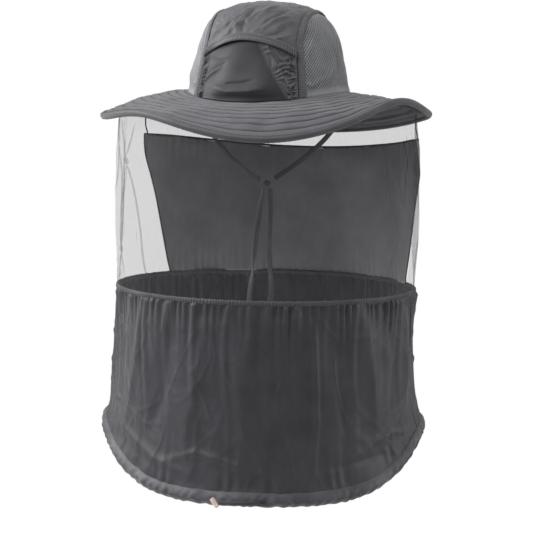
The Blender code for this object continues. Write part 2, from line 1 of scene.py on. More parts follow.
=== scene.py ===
"""Looks of a wide-brimmed sun hat with a beekeeping veil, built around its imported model.

Metres, +Z up. The hat's front faces -Y and the wearer's left is +X. An angle named theta starts at
the front and turns towards the wearer's left.
"""
import math

import bpy
import numpy as np
from mathutils import Matrix, Vector


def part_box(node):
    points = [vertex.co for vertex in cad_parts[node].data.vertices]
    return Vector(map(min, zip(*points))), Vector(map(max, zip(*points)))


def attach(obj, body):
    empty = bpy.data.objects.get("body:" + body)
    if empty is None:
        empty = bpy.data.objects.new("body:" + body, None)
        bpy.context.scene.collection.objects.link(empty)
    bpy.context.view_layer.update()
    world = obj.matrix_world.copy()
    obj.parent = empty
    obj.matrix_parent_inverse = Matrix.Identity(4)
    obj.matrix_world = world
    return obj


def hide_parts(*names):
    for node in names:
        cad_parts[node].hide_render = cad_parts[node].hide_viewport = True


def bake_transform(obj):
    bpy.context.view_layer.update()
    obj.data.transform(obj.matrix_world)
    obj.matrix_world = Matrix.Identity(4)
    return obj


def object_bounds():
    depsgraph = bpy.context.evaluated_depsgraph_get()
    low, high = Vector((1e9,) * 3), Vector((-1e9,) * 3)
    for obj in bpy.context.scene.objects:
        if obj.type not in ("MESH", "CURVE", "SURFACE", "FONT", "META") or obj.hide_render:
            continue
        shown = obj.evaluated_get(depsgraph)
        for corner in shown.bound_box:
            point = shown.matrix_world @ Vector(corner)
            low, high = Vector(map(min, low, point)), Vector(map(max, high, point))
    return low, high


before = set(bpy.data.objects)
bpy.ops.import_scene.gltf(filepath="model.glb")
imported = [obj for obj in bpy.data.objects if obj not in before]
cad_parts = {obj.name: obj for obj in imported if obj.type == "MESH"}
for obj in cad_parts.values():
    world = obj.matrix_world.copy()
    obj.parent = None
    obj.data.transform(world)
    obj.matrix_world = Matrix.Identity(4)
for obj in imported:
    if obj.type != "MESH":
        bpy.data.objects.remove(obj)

cad_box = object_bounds()
MM = 0.001

# ---- studio ----------------------------------------------------------------------------------
# A plain white room with a white plinth far below the hem. A broad soft light stands at the wearer's
# right and weaker ones in front, at the left and above. The camera looks down from the front left.
CAMERA_AZIMUTH = math.radians(16.0)
CAMERA_DISTANCE = 2.0
CAMERA_HEIGHT = 0.0137
CAMERA_PITCH = math.radians(5.667)
CAMERA_ROLL = math.radians(1.1)
CAMERA_LENS = 124.6               # millimetres, on a sensor 36 mm wide
FLOOR_DROP = 0.25                 # the hat is worn, so the plinth is well below its hem


def place_camera():
    """Camera on a circle round the hat, pitched down."""
    camera = bpy.data.objects.new("camera", bpy.data.cameras.new("camera"))
    bpy.context.scene.collection.objects.link(camera)
    back = Vector((math.sin(CAMERA_AZIMUTH), -math.cos(CAMERA_AZIMUTH), 0))
    camera.location = back * CAMERA_DISTANCE + Vector((0, 0, CAMERA_HEIGHT))
    turn = Matrix.Rotation(CAMERA_AZIMUTH, 3, "Z") @ Matrix.Rotation(math.pi / 2 - CAMERA_PITCH, 3, "X")
    camera.rotation_euler = (turn @ Matrix.Rotation(CAMERA_ROLL, 3, "Z")).to_euler()
    camera.data.lens = CAMERA_LENS
    camera.data.sensor_width = 36
    camera.data.clip_start = 0.05
    bpy.context.scene.camera = camera


def place_light(name, azimuth, elevation, distance, size, power):
    """Square area light at an angle round the hat and above the floor, turned to the hat's middle."""
    light = bpy.data.lights.new(name, "AREA")
    light.size = size
    light.energy = power
    lamp = bpy.data.objects.new(name, light)
    bpy.context.scene.collection.objects.link(lamp)
    flat = distance * math.cos(math.radians(elevation))
    turn = math.radians(azimuth)
    middle = Vector((0, 0, (cad_box[0][2] + cad_box[1][2]) / 2))
    lamp.location = middle + Vector((flat * math.sin(turn), -flat * math.cos(turn),
                                     distance * math.sin(math.radians(elevation))))
    lamp.rotation_euler = (middle - lamp.location).to_track_quat("-Z", "Y").to_euler()


def white_room(seen, lit):
    """World that the camera sees as white and that lights the hat more weakly."""
    world = bpy.data.worlds.new("white room")
    bpy.context.scene.world = world
    world.use_nodes = True
    nodes, links = world.node_tree.nodes, world.node_tree.links
    nodes.clear()
    path = nodes.new("ShaderNodeLightPath")
    strength = nodes.new("ShaderNodeMix")
    strength.inputs["A"].default_value = lit
    strength.inputs["B"].default_value = seen
    background = nodes.new("ShaderNodeBackground")
    output = nodes.new("ShaderNodeOutputWorld")
    links.new(path.outputs["Is Camera Ray"], strength.inputs["Factor"])
    links.new(strength.outputs["Result"], background.inputs["Strength"])
    background.inputs["Color"].default_value = (1, 1, 1, 1)
    links.new(background.outputs["Background"], output.inputs["Surface"])


def white_plinth(radius):
    """Round matt plinth that throws some light back up at the hat."""
    low = cad_box[0][2] - FLOOR_DROP
    turn = np.linspace(0, 2 * math.pi, 97)[:-1]
    mesh = bpy.data.meshes.new("plinth")
    mesh.from_pydata([(radius * math.cos(a), radius * math.sin(a), low) for a in turn], [],
                     [tuple(range(len(turn)))])
    plinth = bpy.data.objects.new("plinth", mesh)
    bpy.context.scene.collection.objects.link(plinth)
    material = bpy.data.materials.new("white plinth")
    material.use_nodes = True
    shader = material.node_tree.nodes["Principled BSDF"]
    shader.inputs["Base Color"].default_value = (0.9, 0.9, 0.9, 1)
    shader.inputs["Roughness"].default_value = 0.9
    shader.inputs["Emission Color"].default_value = (1, 1, 1, 1)
    shader.inputs["Emission Strength"].default_value = 0.3
    mesh.materials.append(material)


place_camera()
place_light("window light", -80, 27, 2.2, 1.2, 50)
place_light("front light", -22, 42, 2.8, 1.6, 38)
place_light("left light", 108, 12, 2.6, 1.2, 20)
place_light("top light", 10, 75, 2.4, 1.2, 10)
white_room(1.0, 0.30)
white_plinth(0.55)
bpy.context.scene.view_settings.view_transform = "Standard"


# ---- crown: centre panel ---------------------------------------------------------------------
# One strip of soft woven nylon that runs from the front seam over the top of the head to the back
# seam. It is unlined and unstiffened, so it carries soft folds that end in its seams.
CROWN_HALF_WIDTH = 86 * MM
CROWN_HALF_LENGTH = 104 * MM
CROWN_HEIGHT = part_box("crown_center_panel")[1][2] - 0.5 * MM
SEAM_RISE = 6 * MM
SEAM_ANGLE = math.radians(42.0)
SEAM_TURN_SHARE = 0.55            # share of the crown's height where its strip leaves the wall
CROWN_TAPER = 0.22                # how much narrower the wall is at the top than at the foot
CROWN_WALL_POWER = 6              # the higher, the straighter the wall
CROWN_TOP_POWER = 2.2             # the higher, the flatter the top
ASSEMBLY_GAP = 0.2 * MM
CLOTH = 1.0 * MM
THIN = 0.8 * MM
GAP = 0.35 * MM


def oval(half_x, half_y, theta):
    """Point of an oval ring at theta: (half_x sin, -half_y cos)."""
    return half_x * np.sin(theta), -half_y * np.cos(theta)


def crown_girth(share):
    """Crown's girth at a share of its height: a tapered wall under a superellipse's top."""
    rounded = np.clip(1 - np.abs(share) ** CROWN_WALL_POWER, 0, 1) ** (1 / CROWN_TOP_POWER)
    return (1 - CROWN_TAPER * share) * rounded


GIRTH_SHARES = np.sin(np.linspace(0, math.pi / 2, 400))
SEAM_GIRTH = float(crown_girth(np.array(SEAM_TURN_SHARE)))


def crown_share(girth):
    """Share of the crown's height at which it has this girth: the inverse of crown_girth."""
    return np.interp(-girth, -crown_girth(GIRTH_SHARES), GIRTH_SHARES)


def seam_height(theta):
    """Height of the seam between crown and brim: higher at the sides than front and back."""
    return -SEAM_RISE * np.cos(2 * theta)


def crown_wall(theta, height, lift):
    """Point of the crown's wall at an angle and height, lifted off the surface."""
    girth = crown_girth(height / CROWN_HEIGHT)
    x, y = oval((CROWN_HALF_WIDTH + lift) * girth, (CROWN_HALF_LENGTH + lift) * girth, theta)
    return np.stack([x, y, height + lift * np.clip(height / CROWN_HEIGHT, 0, 1)], -1)


def crown_strip(across, along, lift):
    """Point of the strip from the front seam over the top to the back seam.

    across is -1 to 1 between the side seams. along is 0 to 1: up the front wall, over the top with
    x held constant, and down the back wall."""
    theta = across * SEAM_ANGLE
    turn = SEAM_TURN_SHARE * CROWN_HEIGHT
    wall = 0.3
    base = seam_height(theta) + ASSEMBLY_GAP
    up = np.clip(np.minimum(along, 1 - along) / wall, 0, 1)
    side = crown_wall(np.where(along < 0.5, theta, math.pi - theta), base + (turn - base) * up, lift)
    width, length = CROWN_HALF_WIDTH + lift, CROWN_HALF_LENGTH + lift
    over = np.clip((along - wall) / (1 - 2 * wall), 0, 1)
    x = width * SEAM_GIRTH * np.sin(theta)
    y = -length * SEAM_GIRTH * np.cos(theta) * np.cos(math.pi * over)
    share = crown_share(np.hypot(x / width, y / length))
    top = np.stack([x, y, (CROWN_HEIGHT + lift) * share], -1)
    return np.where(((along > wall) & (along < 1 - wall))[..., None], top, side)


def unit(vectors):
    """Vectors scaled to length one."""
    return vectors / np.maximum(np.linalg.norm(vectors, axis=-1, keepdims=True), 1e-12)


def rumple(points, size, seed, waves=9):
    """Soft unevenness of about -1 to 1: the mean of sine waves about size long in random directions."""
    random = np.random.default_rng(seed)
    direction = unit(random.normal(size=(waves, 3)))
    length = size * random.uniform(0.7, 1.6, waves)
    phase = random.uniform(0, 2 * math.pi, waves)
    total = 0
    for turn, run, start in zip(direction, length, phase):
        total = total + np.sin(points @ turn * (2 * math.pi / run) + start)
    return total / math.sqrt(waves)


def crinkle(points, size, seed):
    """Sharp little ridges of 0 to 1 between soft hollows, where two uneven fields cross zero."""
    bent = points + size * 0.5 * rumple(points, size * 2.2, seed + 1)[..., None]
    return 1 - np.clip(np.abs(rumple(bent, size, seed)) * 1.4, 0, 1)


def crease(points, path, width):
    """A fold of height 1 along a path over the surface: a rounded crest that fades at both ends."""
    path = np.asarray(path, float)
    a, b = path[:-1], path[1:]
    run = b - a
    offset = points[..., None, :] - a
    t = np.clip((offset * run).sum(-1) / (run * run).sum(-1), 0, 1)
    away = np.linalg.norm(offset - t[..., None] * run, axis=-1)
    nearest = away.argmin(-1)[..., None]
    away = np.take_along_axis(away, nearest, -1)[..., 0]
    along = ((nearest + np.take_along_axis(t, nearest, -1)) / len(a))[..., 0]
    return np.exp(-(away / width) ** 1.6) * np.clip(1 - np.abs(2 * along - 1) ** 3, 0, 1)


def on_wall(degrees_and_heights):
    """Points of the crown's wall from pairs of degrees from the front and millimetres of height."""
    theta, height = np.array(degrees_and_heights, float).T
    return crown_wall(np.radians(theta), height * MM, 0.0)


def run_lengths(points, axis):
    """Length along the grid's rows (axis 0) or columns (axis 1), from its first line, in metres."""
    step = np.linalg.norm(np.diff(points, axis=axis), axis=-1)
    step = step.mean(axis=1 - axis)
    return np.concatenate([[0], np.cumsum(step)])


def link_mesh(name, points, quads):
    """Object with a smooth mesh of four-cornered faces, linked to the scene."""
    mesh = bpy.data.meshes.new(name)
    mesh.vertices.add(len(points))
    mesh.vertices.foreach_set("co", points.ravel())
    mesh.loops.add(quads.size)
    mesh.loops.foreach_set("vertex_index", quads.ravel())
    mesh.polygons.add(len(quads))
    mesh.polygons.foreach_set("loop_start", np.arange(0, quads.size, 4))
    mesh.update(calc_edges=True)
    mesh.shade_smooth()
    piece = bpy.data.objects.new(name, mesh)
    bpy.context.scene.collection.objects.link(piece)
    return piece


def cloth_surface(name, points, closed=False, keep=None, marks=None):
    """Mesh of a grid of points, whose rows run down and whose columns run counterclockwise.

    Its UV map, named cloth, holds the lengths along the columns and the rows in metres. keep says
    which cells are made, and marks is a number for each point, kept as the attribute mark."""
    if closed:
        points = np.concatenate([points, points[:, :1]], 1)
        marks = None if marks is None else np.concatenate([marks, marks[:, :1]], 1)
    rows, columns = points.shape[:2]
    across, down = np.meshgrid(run_lengths(points, 1), run_lengths(points, 0))
    index = np.arange(rows * columns).reshape(rows, columns)
    welded = index.copy()
    if closed:
        welded[:, -1] = index[:, 0]
    corners = [(slice(None, -1), slice(None, -1)), (slice(1, None), slice(None, -1)),
               (slice(1, None), slice(1, None)), (slice(None, -1), slice(1, None))]
    quads = np.stack([welded[corner] for corner in corners], -1)
    charts = np.stack([index[corner] for corner in corners], -1)
    if keep is not None:
        quads, charts = quads[keep], charts[keep]
    quads, charts = quads.reshape(-1, 4), charts.reshape(-1, 4)
    used, quads = np.unique(quads, return_inverse=True)
    piece = link_mesh(name, points.reshape(-1, 3)[used], quads.reshape(-1, 4))
    chart = piece.data.uv_layers.new(name="cloth")
    chart.data.foreach_set("uv", np.stack([across.ravel(), down.ravel()], -1)[charts.ravel()].ravel())
    if marks is not None:
        mark = piece.data.attributes.new("mark", "FLOAT", "POINT")
        mark.data.foreach_set("value", np.asarray(marks, float).ravel()[used])
    return piece


def give_wall(piece, thickness, offset=-1.0):
    """Give an open surface its thickness, inwards unless offset says otherwise."""
    wall = piece.modifiers.new("wall", "SOLIDIFY")
    wall.thickness = thickness
    wall.offset = offset
    wall.use_even_offset = False


def add_node(tree, kind, inputs=(), **settings):
    """Shader node with its settings; each input is a value or another node's output."""
    node = tree.nodes.new("ShaderNode" + kind)
    for name, value in settings.items():
        setattr(node, name, value)
    for key, value in dict(inputs).items():
        if isinstance(value, bpy.types.NodeSocket):
            tree.links.new(value, node.inputs[key])
        else:
            node.inputs[key].default_value = value
    return node


def new_group(name, inputs, outputs):
    """Empty shader node group with float or vector inputs and outputs."""
    group = bpy.data.node_groups.new(name, "ShaderNodeTree")
    for side, sockets in (("INPUT", inputs), ("OUTPUT", outputs)):
        for socket, kind in sockets.items():
            group.interface.new_socket(socket, in_out=side, socket_type="NodeSocket" + kind)
    return group, group.nodes.new("NodeGroupInput"), group.nodes.new("NodeGroupOutput")


def weave_group():
    """Plain weave: height 0 to 1 of threads that pass over and under each other, and lint on them."""
    group, given, result = new_group("plain weave", {"Vector": "Vector", "Threads": "Float"},
                                     {"Height": "Float", "Lint": "Float"})
    axes = add_node(group, "SeparateXYZ", {0: given.outputs["Vector"]})
    turn = add_node(group, "Math", {0: given.outputs["Threads"], 1: math.pi}, operation="MULTIPLY")
    waves = []
    for axis in (0, 1):
        angle = add_node(group, "Math", {0: axes.outputs[axis], 1: turn.outputs[0]}, operation="MULTIPLY")
        waves.append(add_node(group, "Math", {0: angle.outputs[0]}, operation="SINE"))
    cross = add_node(group, "Math", {0: waves[0].outputs[0], 1: waves[1].outputs[0]},
                     operation="MULTIPLY")
    height = add_node(group, "Math", {0: cross.outputs[0], 1: 0.5, 2: 0.5}, operation="MULTIPLY_ADD")
    group.links.new(height.outputs[0], result.inputs["Height"])
    slub = add_node(group, "Mapping", {"Vector": given.outputs["Vector"], "Scale": (900, 60, 1)})
    lint = add_node(group, "TexNoise", {"Vector": slub.outputs[0], "Scale": 1.0, "Detail": 3.0})
    group.links.new(lint.outputs["Fac"], result.inputs["Lint"])
    return group


def wear_group():
    """Uneven dye and rubbing: a mask of 0 to 1 from broad clouds and finer blotches."""
    group, given, result = new_group("wear", {"Vector": "Vector", "Size": "Float"}, {"Mask": "Float"})
    broad = add_node(group, "TexNoise", {"Vector": given.outputs["Vector"],
                                         "Scale": given.outputs["Size"], "Detail": 4.0,
                                         "Roughness": 0.6})
    sharper = add_node(group, "MapRange", {"Value": broad.outputs["Fac"], "From Min": 0.3,
                                           "From Max": 0.7})
    group.links.new(sharper.outputs[0], result.inputs["Mask"])
    return group


WEAVE = weave_group()
WEAR = wear_group()


def mixed(tree, factor, first, second):
    """Colour between two colours or outputs: a Mix node's sockets 6 and 7 take colours, and 2 gives one."""
    return add_node(tree, "Mix", {0: factor, 6: first, 7: second}, data_type="RGBA").outputs[2]


def linear(srgb):
    """Linear colour with full alpha from sRGB channels of 0 to 255."""
    channel = np.array(srgb, float) / 255
    value = np.where(channel <= 0.04045, channel / 12.92, ((channel + 0.055) / 1.055) ** 2.4)
    return (*value.tolist(), 1.0)


def new_material(name):
    """Material with its node tree and its main shader."""
    material = bpy.data.materials.new(name)
    material.use_nodes = True
    return material, material.node_tree, material.node_tree.nodes["Principled BSDF"]


def worn(tree, light, deep, size):
    """Colour between light and deep by wear, with size blotches a metre, and the wear's mask."""
    place = add_node(tree, "TexCoord")
    wear = add_node(tree, "Group", {"Vector": place.outputs["Object"], "Size": size}, node_tree=WEAR)
    return mixed(tree, wear.outputs["Mask"], linear(deep), linear(light)), wear.outputs["Mask"]


def woven(name, light, deep, threads, roughness, sheen, weave_depth):
    """Woven cloth: colour between light and deep by dye and lint, with painted shade where the weave's
    threads dip and painted highlight on their crests; threads per metre of UV map.
    """
    material, tree, shader = new_material(name)
    chart = add_node(tree, "UVMap", uv_map="cloth")
    weave = add_node(tree, "Group", {"Vector": chart.outputs["UV"], "Threads": threads},
                     node_tree=WEAVE)
    dyed, mask = worn(tree, light, deep, 28.0)
    # Painted shade in the weave's dips and painted highlight on its crests.
    shade = add_node(tree, "MapRange", {"Value": weave.outputs["Height"], "To Min": 0.82,
                                        "To Max": 1.08})
    lint = add_node(tree, "MapRange", {"Value": weave.outputs["Lint"], "From Min": 0.3,
                                       "From Max": 0.7, "To Min": 0.93, "To Max": 1.07})
    both = add_node(tree, "Math", {0: shade.outputs[0], 1: lint.outputs[0]}, operation="MULTIPLY")
    tone = add_node(tree, "VectorMath", {0: dyed, 1: both.outputs[0]}, operation="MULTIPLY")
    tree.links.new(tone.outputs[0], shader.inputs["Base Color"])
    gloss = add_node(tree, "MapRange", {"Value": mask, "To Min": roughness + 0.06,
                                        "To Max": roughness - 0.06})
    tree.links.new(gloss.outputs[0], shader.inputs["Roughness"])
    relief = add_node(tree, "Bump", {"Height": weave.outputs["Height"], "Strength": 0.5,
                                     "Distance": weave_depth})
    tree.links.new(relief.outputs[0], shader.inputs["Normal"])
    shader.inputs["Sheen Weight"].default_value = sheen
    shader.inputs["Sheen Roughness"].default_value = 0.4
    shader.inputs["Specular IOR Level"].default_value = 0.35
    return material


CROWN_CLOTH = woven("crown cloth", (98, 98, 102), (84, 84, 88), 3200, 0.5, 0.22, 0.00012)

# Folds of the panel: degrees and millimetres of height along each, then width and height in mm.
CROWN_FOLDS = [
    ([(-3, 60), (-6, 72), (-3, 86), (4, 95)], 2.0, -1.9), ([(-10, 60), (-12, 74), (-8, 88)], 2.6, 1.4),
    ([(2, 63), (10, 71), (24, 79), (40, 84)], 2.2, 1.9),
    ([(6, 67), (16, 77), (30, 86), (42, 90)], 1.9, -1.7),
    ([(-26, 54), (-18, 67), (-4, 79), (12, 89), (30, 95)], 2.6, 1.9),
    ([(-40, 50), (-33, 64), (-19, 78), (-5, 91)], 2.2, 1.9),
    ([(-38, 60), (-35, 74), (-24, 88)], 1.9, -1.5), ([(10, 60), (24, 64), (40, 74)], 1.9, -1.6),
    ([(16, 57), (28, 60), (41, 66)], 1.8, 1.6), ([(-30, 58), (-22, 72), (-10, 84)], 1.8, -1.4),
    ([(4, 78), (14, 88), (24, 94)], 2.0, 1.5), ([(-18, 62), (-16, 76), (-8, 92)], 1.7, 1.2),
    ([(22, 70), (33, 76), (42, 78)], 1.7, 1.4), ([(150, 8), (160, 34), (171, 62), (176, 86)], 3.2, 1.8),
    ([(206, 6), (197, 30), (190, 58), (184, 80)], 2.8, -1.7),
    ([(170, 4), (176, 26), (186, 46), (202, 60)], 2.6, 1.7),
    ([(160, 52), (176, 60), (194, 62), (212, 56)], 3.0, -1.4),
    ([(148, 66), (166, 78), (188, 84), (208, 80)], 3.0, 1.6),
]


def folds_of(points, folds, lay):
    """Sum of the listed folds in metres; lay turns a fold's own coordinates into points."""
    total = 0
    for path, width, height in folds:
        total = total + height * MM * crease(points, lay(path), width * MM)
    return total


def pocket_top(across):
    """Height of the stow pocket's arched mouth, from the middle (across 0) to its side edges (1)."""
    return (46 + 16 * (1 - across ** 2)) * MM


def make_centre_panel():
    """Centre panel: its folds fade where the pocket covers it and where it meets its seams."""
    along, across = np.meshgrid(np.linspace(1, 0, 330), np.linspace(-1, 1, 118) * 0.99, indexing="ij")
    flat = crown_strip(across, along, 0.0)
    relief = folds_of(flat, CROWN_FOLDS, on_wall)
    relief += 0.5 * MM * rumple(flat, 30 * MM, 11) + 0.7 * MM * (crinkle(flat, 22 * MM, 5) ** 3 - 0.2)
    mouth = pocket_top(np.clip(np.abs(across) / 0.9, 0, 1))
    open_air = np.clip((flat[..., 2] - mouth + 4 * MM) / (6 * MM), 0, 1)
    open_air = np.where(along < 0.4, open_air, 1)
    foot = np.clip((flat[..., 2] - seam_height(across * SEAM_ANGLE)) / (9 * MM), 0.25, 1)
    fade = open_air * foot * np.clip((1 - np.abs(across)) * 9 + 0.25, 0, 1)
    panel = cloth_surface("crown_centre_cloth", crown_strip(across, along, CLOTH / 2 + relief * fade))
    give_wall(panel, CLOTH)
    panel.data.materials.append(CROWN_CLOTH)
    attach(panel, "hat")
    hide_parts("crown_center_panel")


make_centre_panel()

# ---- crown: side panels of vent mesh ---------------------------------------------------------
# Knitted sports mesh with rows of small round holes, set diagonally. It is lighter than the cloth,
# and it closes the crown over each ear so that air passes through.
HOLE_PITCH = 3.9 * MM
HOLE_RADIUS = 0.95 * MM


def hole_mask(across, down, pitch, radius):
    """1 in round holes on a diagonal lattice and 0 between them, with a soft rim."""
    row = np.round(down / (pitch * 0.5))
    shift = np.where(row % 2 == 0, 0.0, 0.5 * pitch)
    column = np.round((across - shift) / pitch)
    away = np.hypot(across - shift - column * pitch, down - row * pitch * 0.5)
    return np.clip(1.5 - away / radius, 0, 1)


def two_tone(material, other):
    """Cloth that turns to another colour where the mark attribute is 1."""
    tree = material.node_tree
    shader = tree.nodes["Principled BSDF"]
    cloth = shader.inputs["Base Color"].links[0].from_socket
    mark = add_node(tree, "Attribute", attribute_name="mark")
    tree.links.new(mixed(tree, mark.outputs["Fac"], cloth, linear(other)), shader.inputs["Base Color"])
    return material


def vent_mesh(name, light, deep, hole_and_shade):
    """Knitted mesh: cloth between light and deep, with a dark colour in the holes that the mark attribute
    gives, painted shade of the crown's inside seen through them.
    """
    return two_tone(woven(name, light, deep, 1500, 0.62, 0.3, 0.0002), hole_and_shade)


# The last colour is painted shade in the mesh's holes.
VENT_MESH = vent_mesh("vent mesh", (154, 155, 159), (138, 139, 143), (26, 26, 29))
VENT_FOLDS = [
    ([(58, 8), (72, 30), (86, 56), (92, 84)], 5.0, 2.0),
    ([(44, 30), (52, 54), (64, 78), (80, 96)], 3.4, 1.8), ([(48, 50), (60, 72), (74, 90)], 3.0, -1.5),
    ([(96, 6), (104, 34), (108, 66)], 5.0, -1.8), ([(118, 8), (122, 40), (112, 74)], 4.6, 1.9),
    ([(40, 14), (50, 12), (62, 22)], 3.0, 1.6), ([(76, 10), (80, 34), (78, 52)], 3.6, -1.4),
    ([(126, 40), (132, 66), (120, 88)], 3.6, -1.4),
]


def make_vent_panel(side, sign):
    """One side panel: holes are dents in a fine surface, painted dark as shade, with folds and a puckered
    edge at its seams.
    """
    theta = np.linspace(SEAM_ANGLE, math.pi - SEAM_ANGLE, 236)
    rows, theta = np.meshgrid(np.sin(np.linspace(1, 0, 150) * math.pi / 2), theta, indexing="ij")
    plane = SEAM_GIRTH * math.sin(SEAM_ANGLE)
    base = seam_height(theta) + ASSEMBLY_GAP
    top = CROWN_HEIGHT * crown_share(plane / np.sin(theta))
    height = base + (top - base) * rows
    flat = crown_wall(theta, height, 0.0)
    across = theta * CROWN_HALF_LENGTH * 0.94
    # Holes: dents in the surface, which the mark attribute also paints dark as shade.
    hole_and_shade = hole_mask(across, height, HOLE_PITCH, HOLE_RADIUS)
    edge = np.minimum(1 - rows, np.minimum(theta - SEAM_ANGLE, math.pi - SEAM_ANGLE - theta) * 1.2)
    hole_and_shade *= np.clip((edge - 0.03) * 30, 0, 1) * np.clip(rows * 14 - 0.4, 0, 1)
    relief = folds_of(flat, VENT_FOLDS, on_wall) + 0.5 * MM * rumple(flat, 26 * MM, 31)
    pucker = 0.8 * MM * np.sin(height / (3.4 * MM) + 3 * rumple(flat, 30 * MM, 3)) * np.exp(-edge * 22)
    relief = (relief + pucker) * np.clip(edge * 14 + 0.3, 0, 1) * np.clip(rows * 10 + 0.2, 0, 1)
    points = crown_wall(sign * theta, height, CLOTH / 2 + relief - 0.7 * MM * hole_and_shade)
    if sign < 0:
        points, hole_and_shade = points[:, ::-1], hole_and_shade[:, ::-1]
    panel = cloth_surface(f"crown_vent_mesh_{side}", points, marks=hole_and_shade)
    give_wall(panel, CLOTH)
    panel.data.materials.append(VENT_MESH)
    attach(panel, "hat")
    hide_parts(f"crown_side_mesh_{side}")


make_vent_panel("left", 1)
make_vent_panel("right", -1)

# ---- crown: seam tapes -----------------------------------------------------------------------
# Folded tape sewn over the seam between centre panel and mesh, with a row of thread along each
# edge. The thread pulls the tape into small puckers.
SEAM_TAPE_SHARE = 0.06
STITCH_LINE = 0.72                # where the stitches run, as a share of the tape's half width
TAPE_CLOTH = woven("seam tape", (100, 100, 104), (84, 84, 88), 1800, 0.55, 0.3, 0.0002)


def thread(name, light, deep):
    """Sewing thread: matt, slightly uneven in tone."""
    material, tree, shader = new_material(name)
    tree.links.new(worn(tree, light, deep, 300.0)[0], shader.inputs["Base Color"])
    shader.inputs["Roughness"].default_value = 0.55
    shader.inputs["Sheen Weight"].default_value = 0.2
    return material


THREAD = thread("dark sewing thread", (42, 42, 46), (30, 30, 33))


def evenly(path, pitch):
    """Points a pitch apart along a path, with the share of the path at each."""
    run = np.concatenate([[0], np.cumsum(np.linalg.norm(np.diff(path, axis=0), axis=1))])
    count = max(2, round(run[-1] / pitch))
    at = (np.arange(count) + 0.5) * run[-1] / count
    return np.stack([np.interp(at, run, path[:, axis]) for axis in range(3)], -1), at / run[-1]


def stitches(name, rows, body, length=2.3 * MM, pitch=3.0 * MM, thick=0.55 * MM):
    """Rows of sewn stitches: each row is a path and the outward directions along it.

    A stitch is a spindle of four rings with four sides, that lies along the path."""
    shares = np.array([-0.5, -0.28, 0.28, 0.5])
    widths = np.array([0.35, 1.0, 1.0, 0.35]) * thick / 2
    corner = np.array([(0, 1), (-1, 0), (0, -1), (1, 0)])
    points, faces, made = [], [], 0
    walls = [[r * 4 + k, r * 4 + (k + 1) % 4, r * 4 + 4 + (k + 1) % 4, r * 4 + 4 + k]
             for r in range(3) for k in range(4)]
    ring = np.array(walls + [[3, 2, 1, 0], [12, 13, 14, 15]])
    for path, outward in rows:
        centre, share = evenly(path, pitch)
        spread = np.linspace(0, 1, len(path))
        up = unit(np.stack([np.interp(share, spread, outward[:, axis]) for axis in range(3)], -1))
        ahead = unit(np.gradient(centre, axis=0))
        side = unit(np.cross(ahead, up))
        along = ahead[:, None, None] * (shares * length)[None, :, None, None]
        around = (side[:, None, None] * corner[None, None, :, :1]
                  + up[:, None, None] * corner[None, None, :, 1:])
        spindle = centre[:, None, None] + along + widths[None, :, None, None] * around
        points.append(spindle.reshape(-1, 3))
        faces.append((ring[None] + (np.arange(len(centre)) * 16)[:, None, None] + made).reshape(-1, 4))
        made += len(centre) * 16
    piece = link_mesh(name, np.concatenate(points), np.concatenate(faces))
    piece.data.materials.append(THREAD)
    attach(piece, body)


def make_seam_tape(side, sign):
    """Tape over one crown seam, arched across its width, with two rows of stitches."""
    tape_lift = CLOTH / 2 + 2 * GAP + THIN / 2

    def tape_point(across, along):
        """Point of the tape: low at both edges and along its stitches, puckered in between."""
        offset = (across - 1) / SEAM_TAPE_SHARE
        dent = 0.45 * MM * np.exp(-((np.abs(offset) - STITCH_LINE) / 0.12) ** 2)
        arch = 0.7 * MM * (1 - offset ** 2) - dent
        flat = crown_strip(sign * across, along, tape_lift)
        pucker = 0.3 * MM * np.sin(along * 520 + 4 * rumple(flat, 40 * MM, 8)) * (1 - offset ** 2)
        return crown_strip(sign * across, along, tape_lift + arch + pucker)

    width = np.linspace(1 - SEAM_TAPE_SHARE, 1 + SEAM_TAPE_SHARE, 17)
    along, across = np.meshgrid(np.linspace(1, 0, 360), width if sign > 0 else width[::-1],
                                indexing="ij")
    tape = cloth_surface(f"crown_seam_tape_cloth_{side}", tape_point(across, along))
    give_wall(tape, THIN)
    tape.data.materials.append(TAPE_CLOTH)
    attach(tape, "hat")
    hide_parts(f"crown_seam_tape_{side}")
    rows = []
    for offset in (-STITCH_LINE, STITCH_LINE):
        line = np.linspace(0.01, 0.99, 240)
        path = tape_point(np.full_like(line, 1 + offset * SEAM_TAPE_SHARE), line)
        out = path - path.mean(0)
        rows.append((path, unit(out * (1, 1, 1.4))))
    stitches(f"crown_seam_stitches_{side}", rows, "hat")


make_seam_tape("left", 1)
make_seam_tape("right", -1)

# ---- stow pocket on the crown's front --------------------------------------------------------
# A flat pocket that the veil is stowed in, of dark lining cloth whose dark tone is partly painted shade of
# its sunken place under the mouth's band; towards the wearer's left it takes the crown cloth's grey.
# Its mouth has a wide turned hem of the crown's cloth with two rows of thread, and elastic in both
# sides ruffles it.
POCKET_EDGE_SHARE = 0.90
POCKET_BAND = 7 * MM
POCKET_LIFT = CLOTH / 2 + 1.3 * MM + THIN / 2
POCKET_STITCH_LINES = (0.2, 0.42)      # shares of the hem band's depth
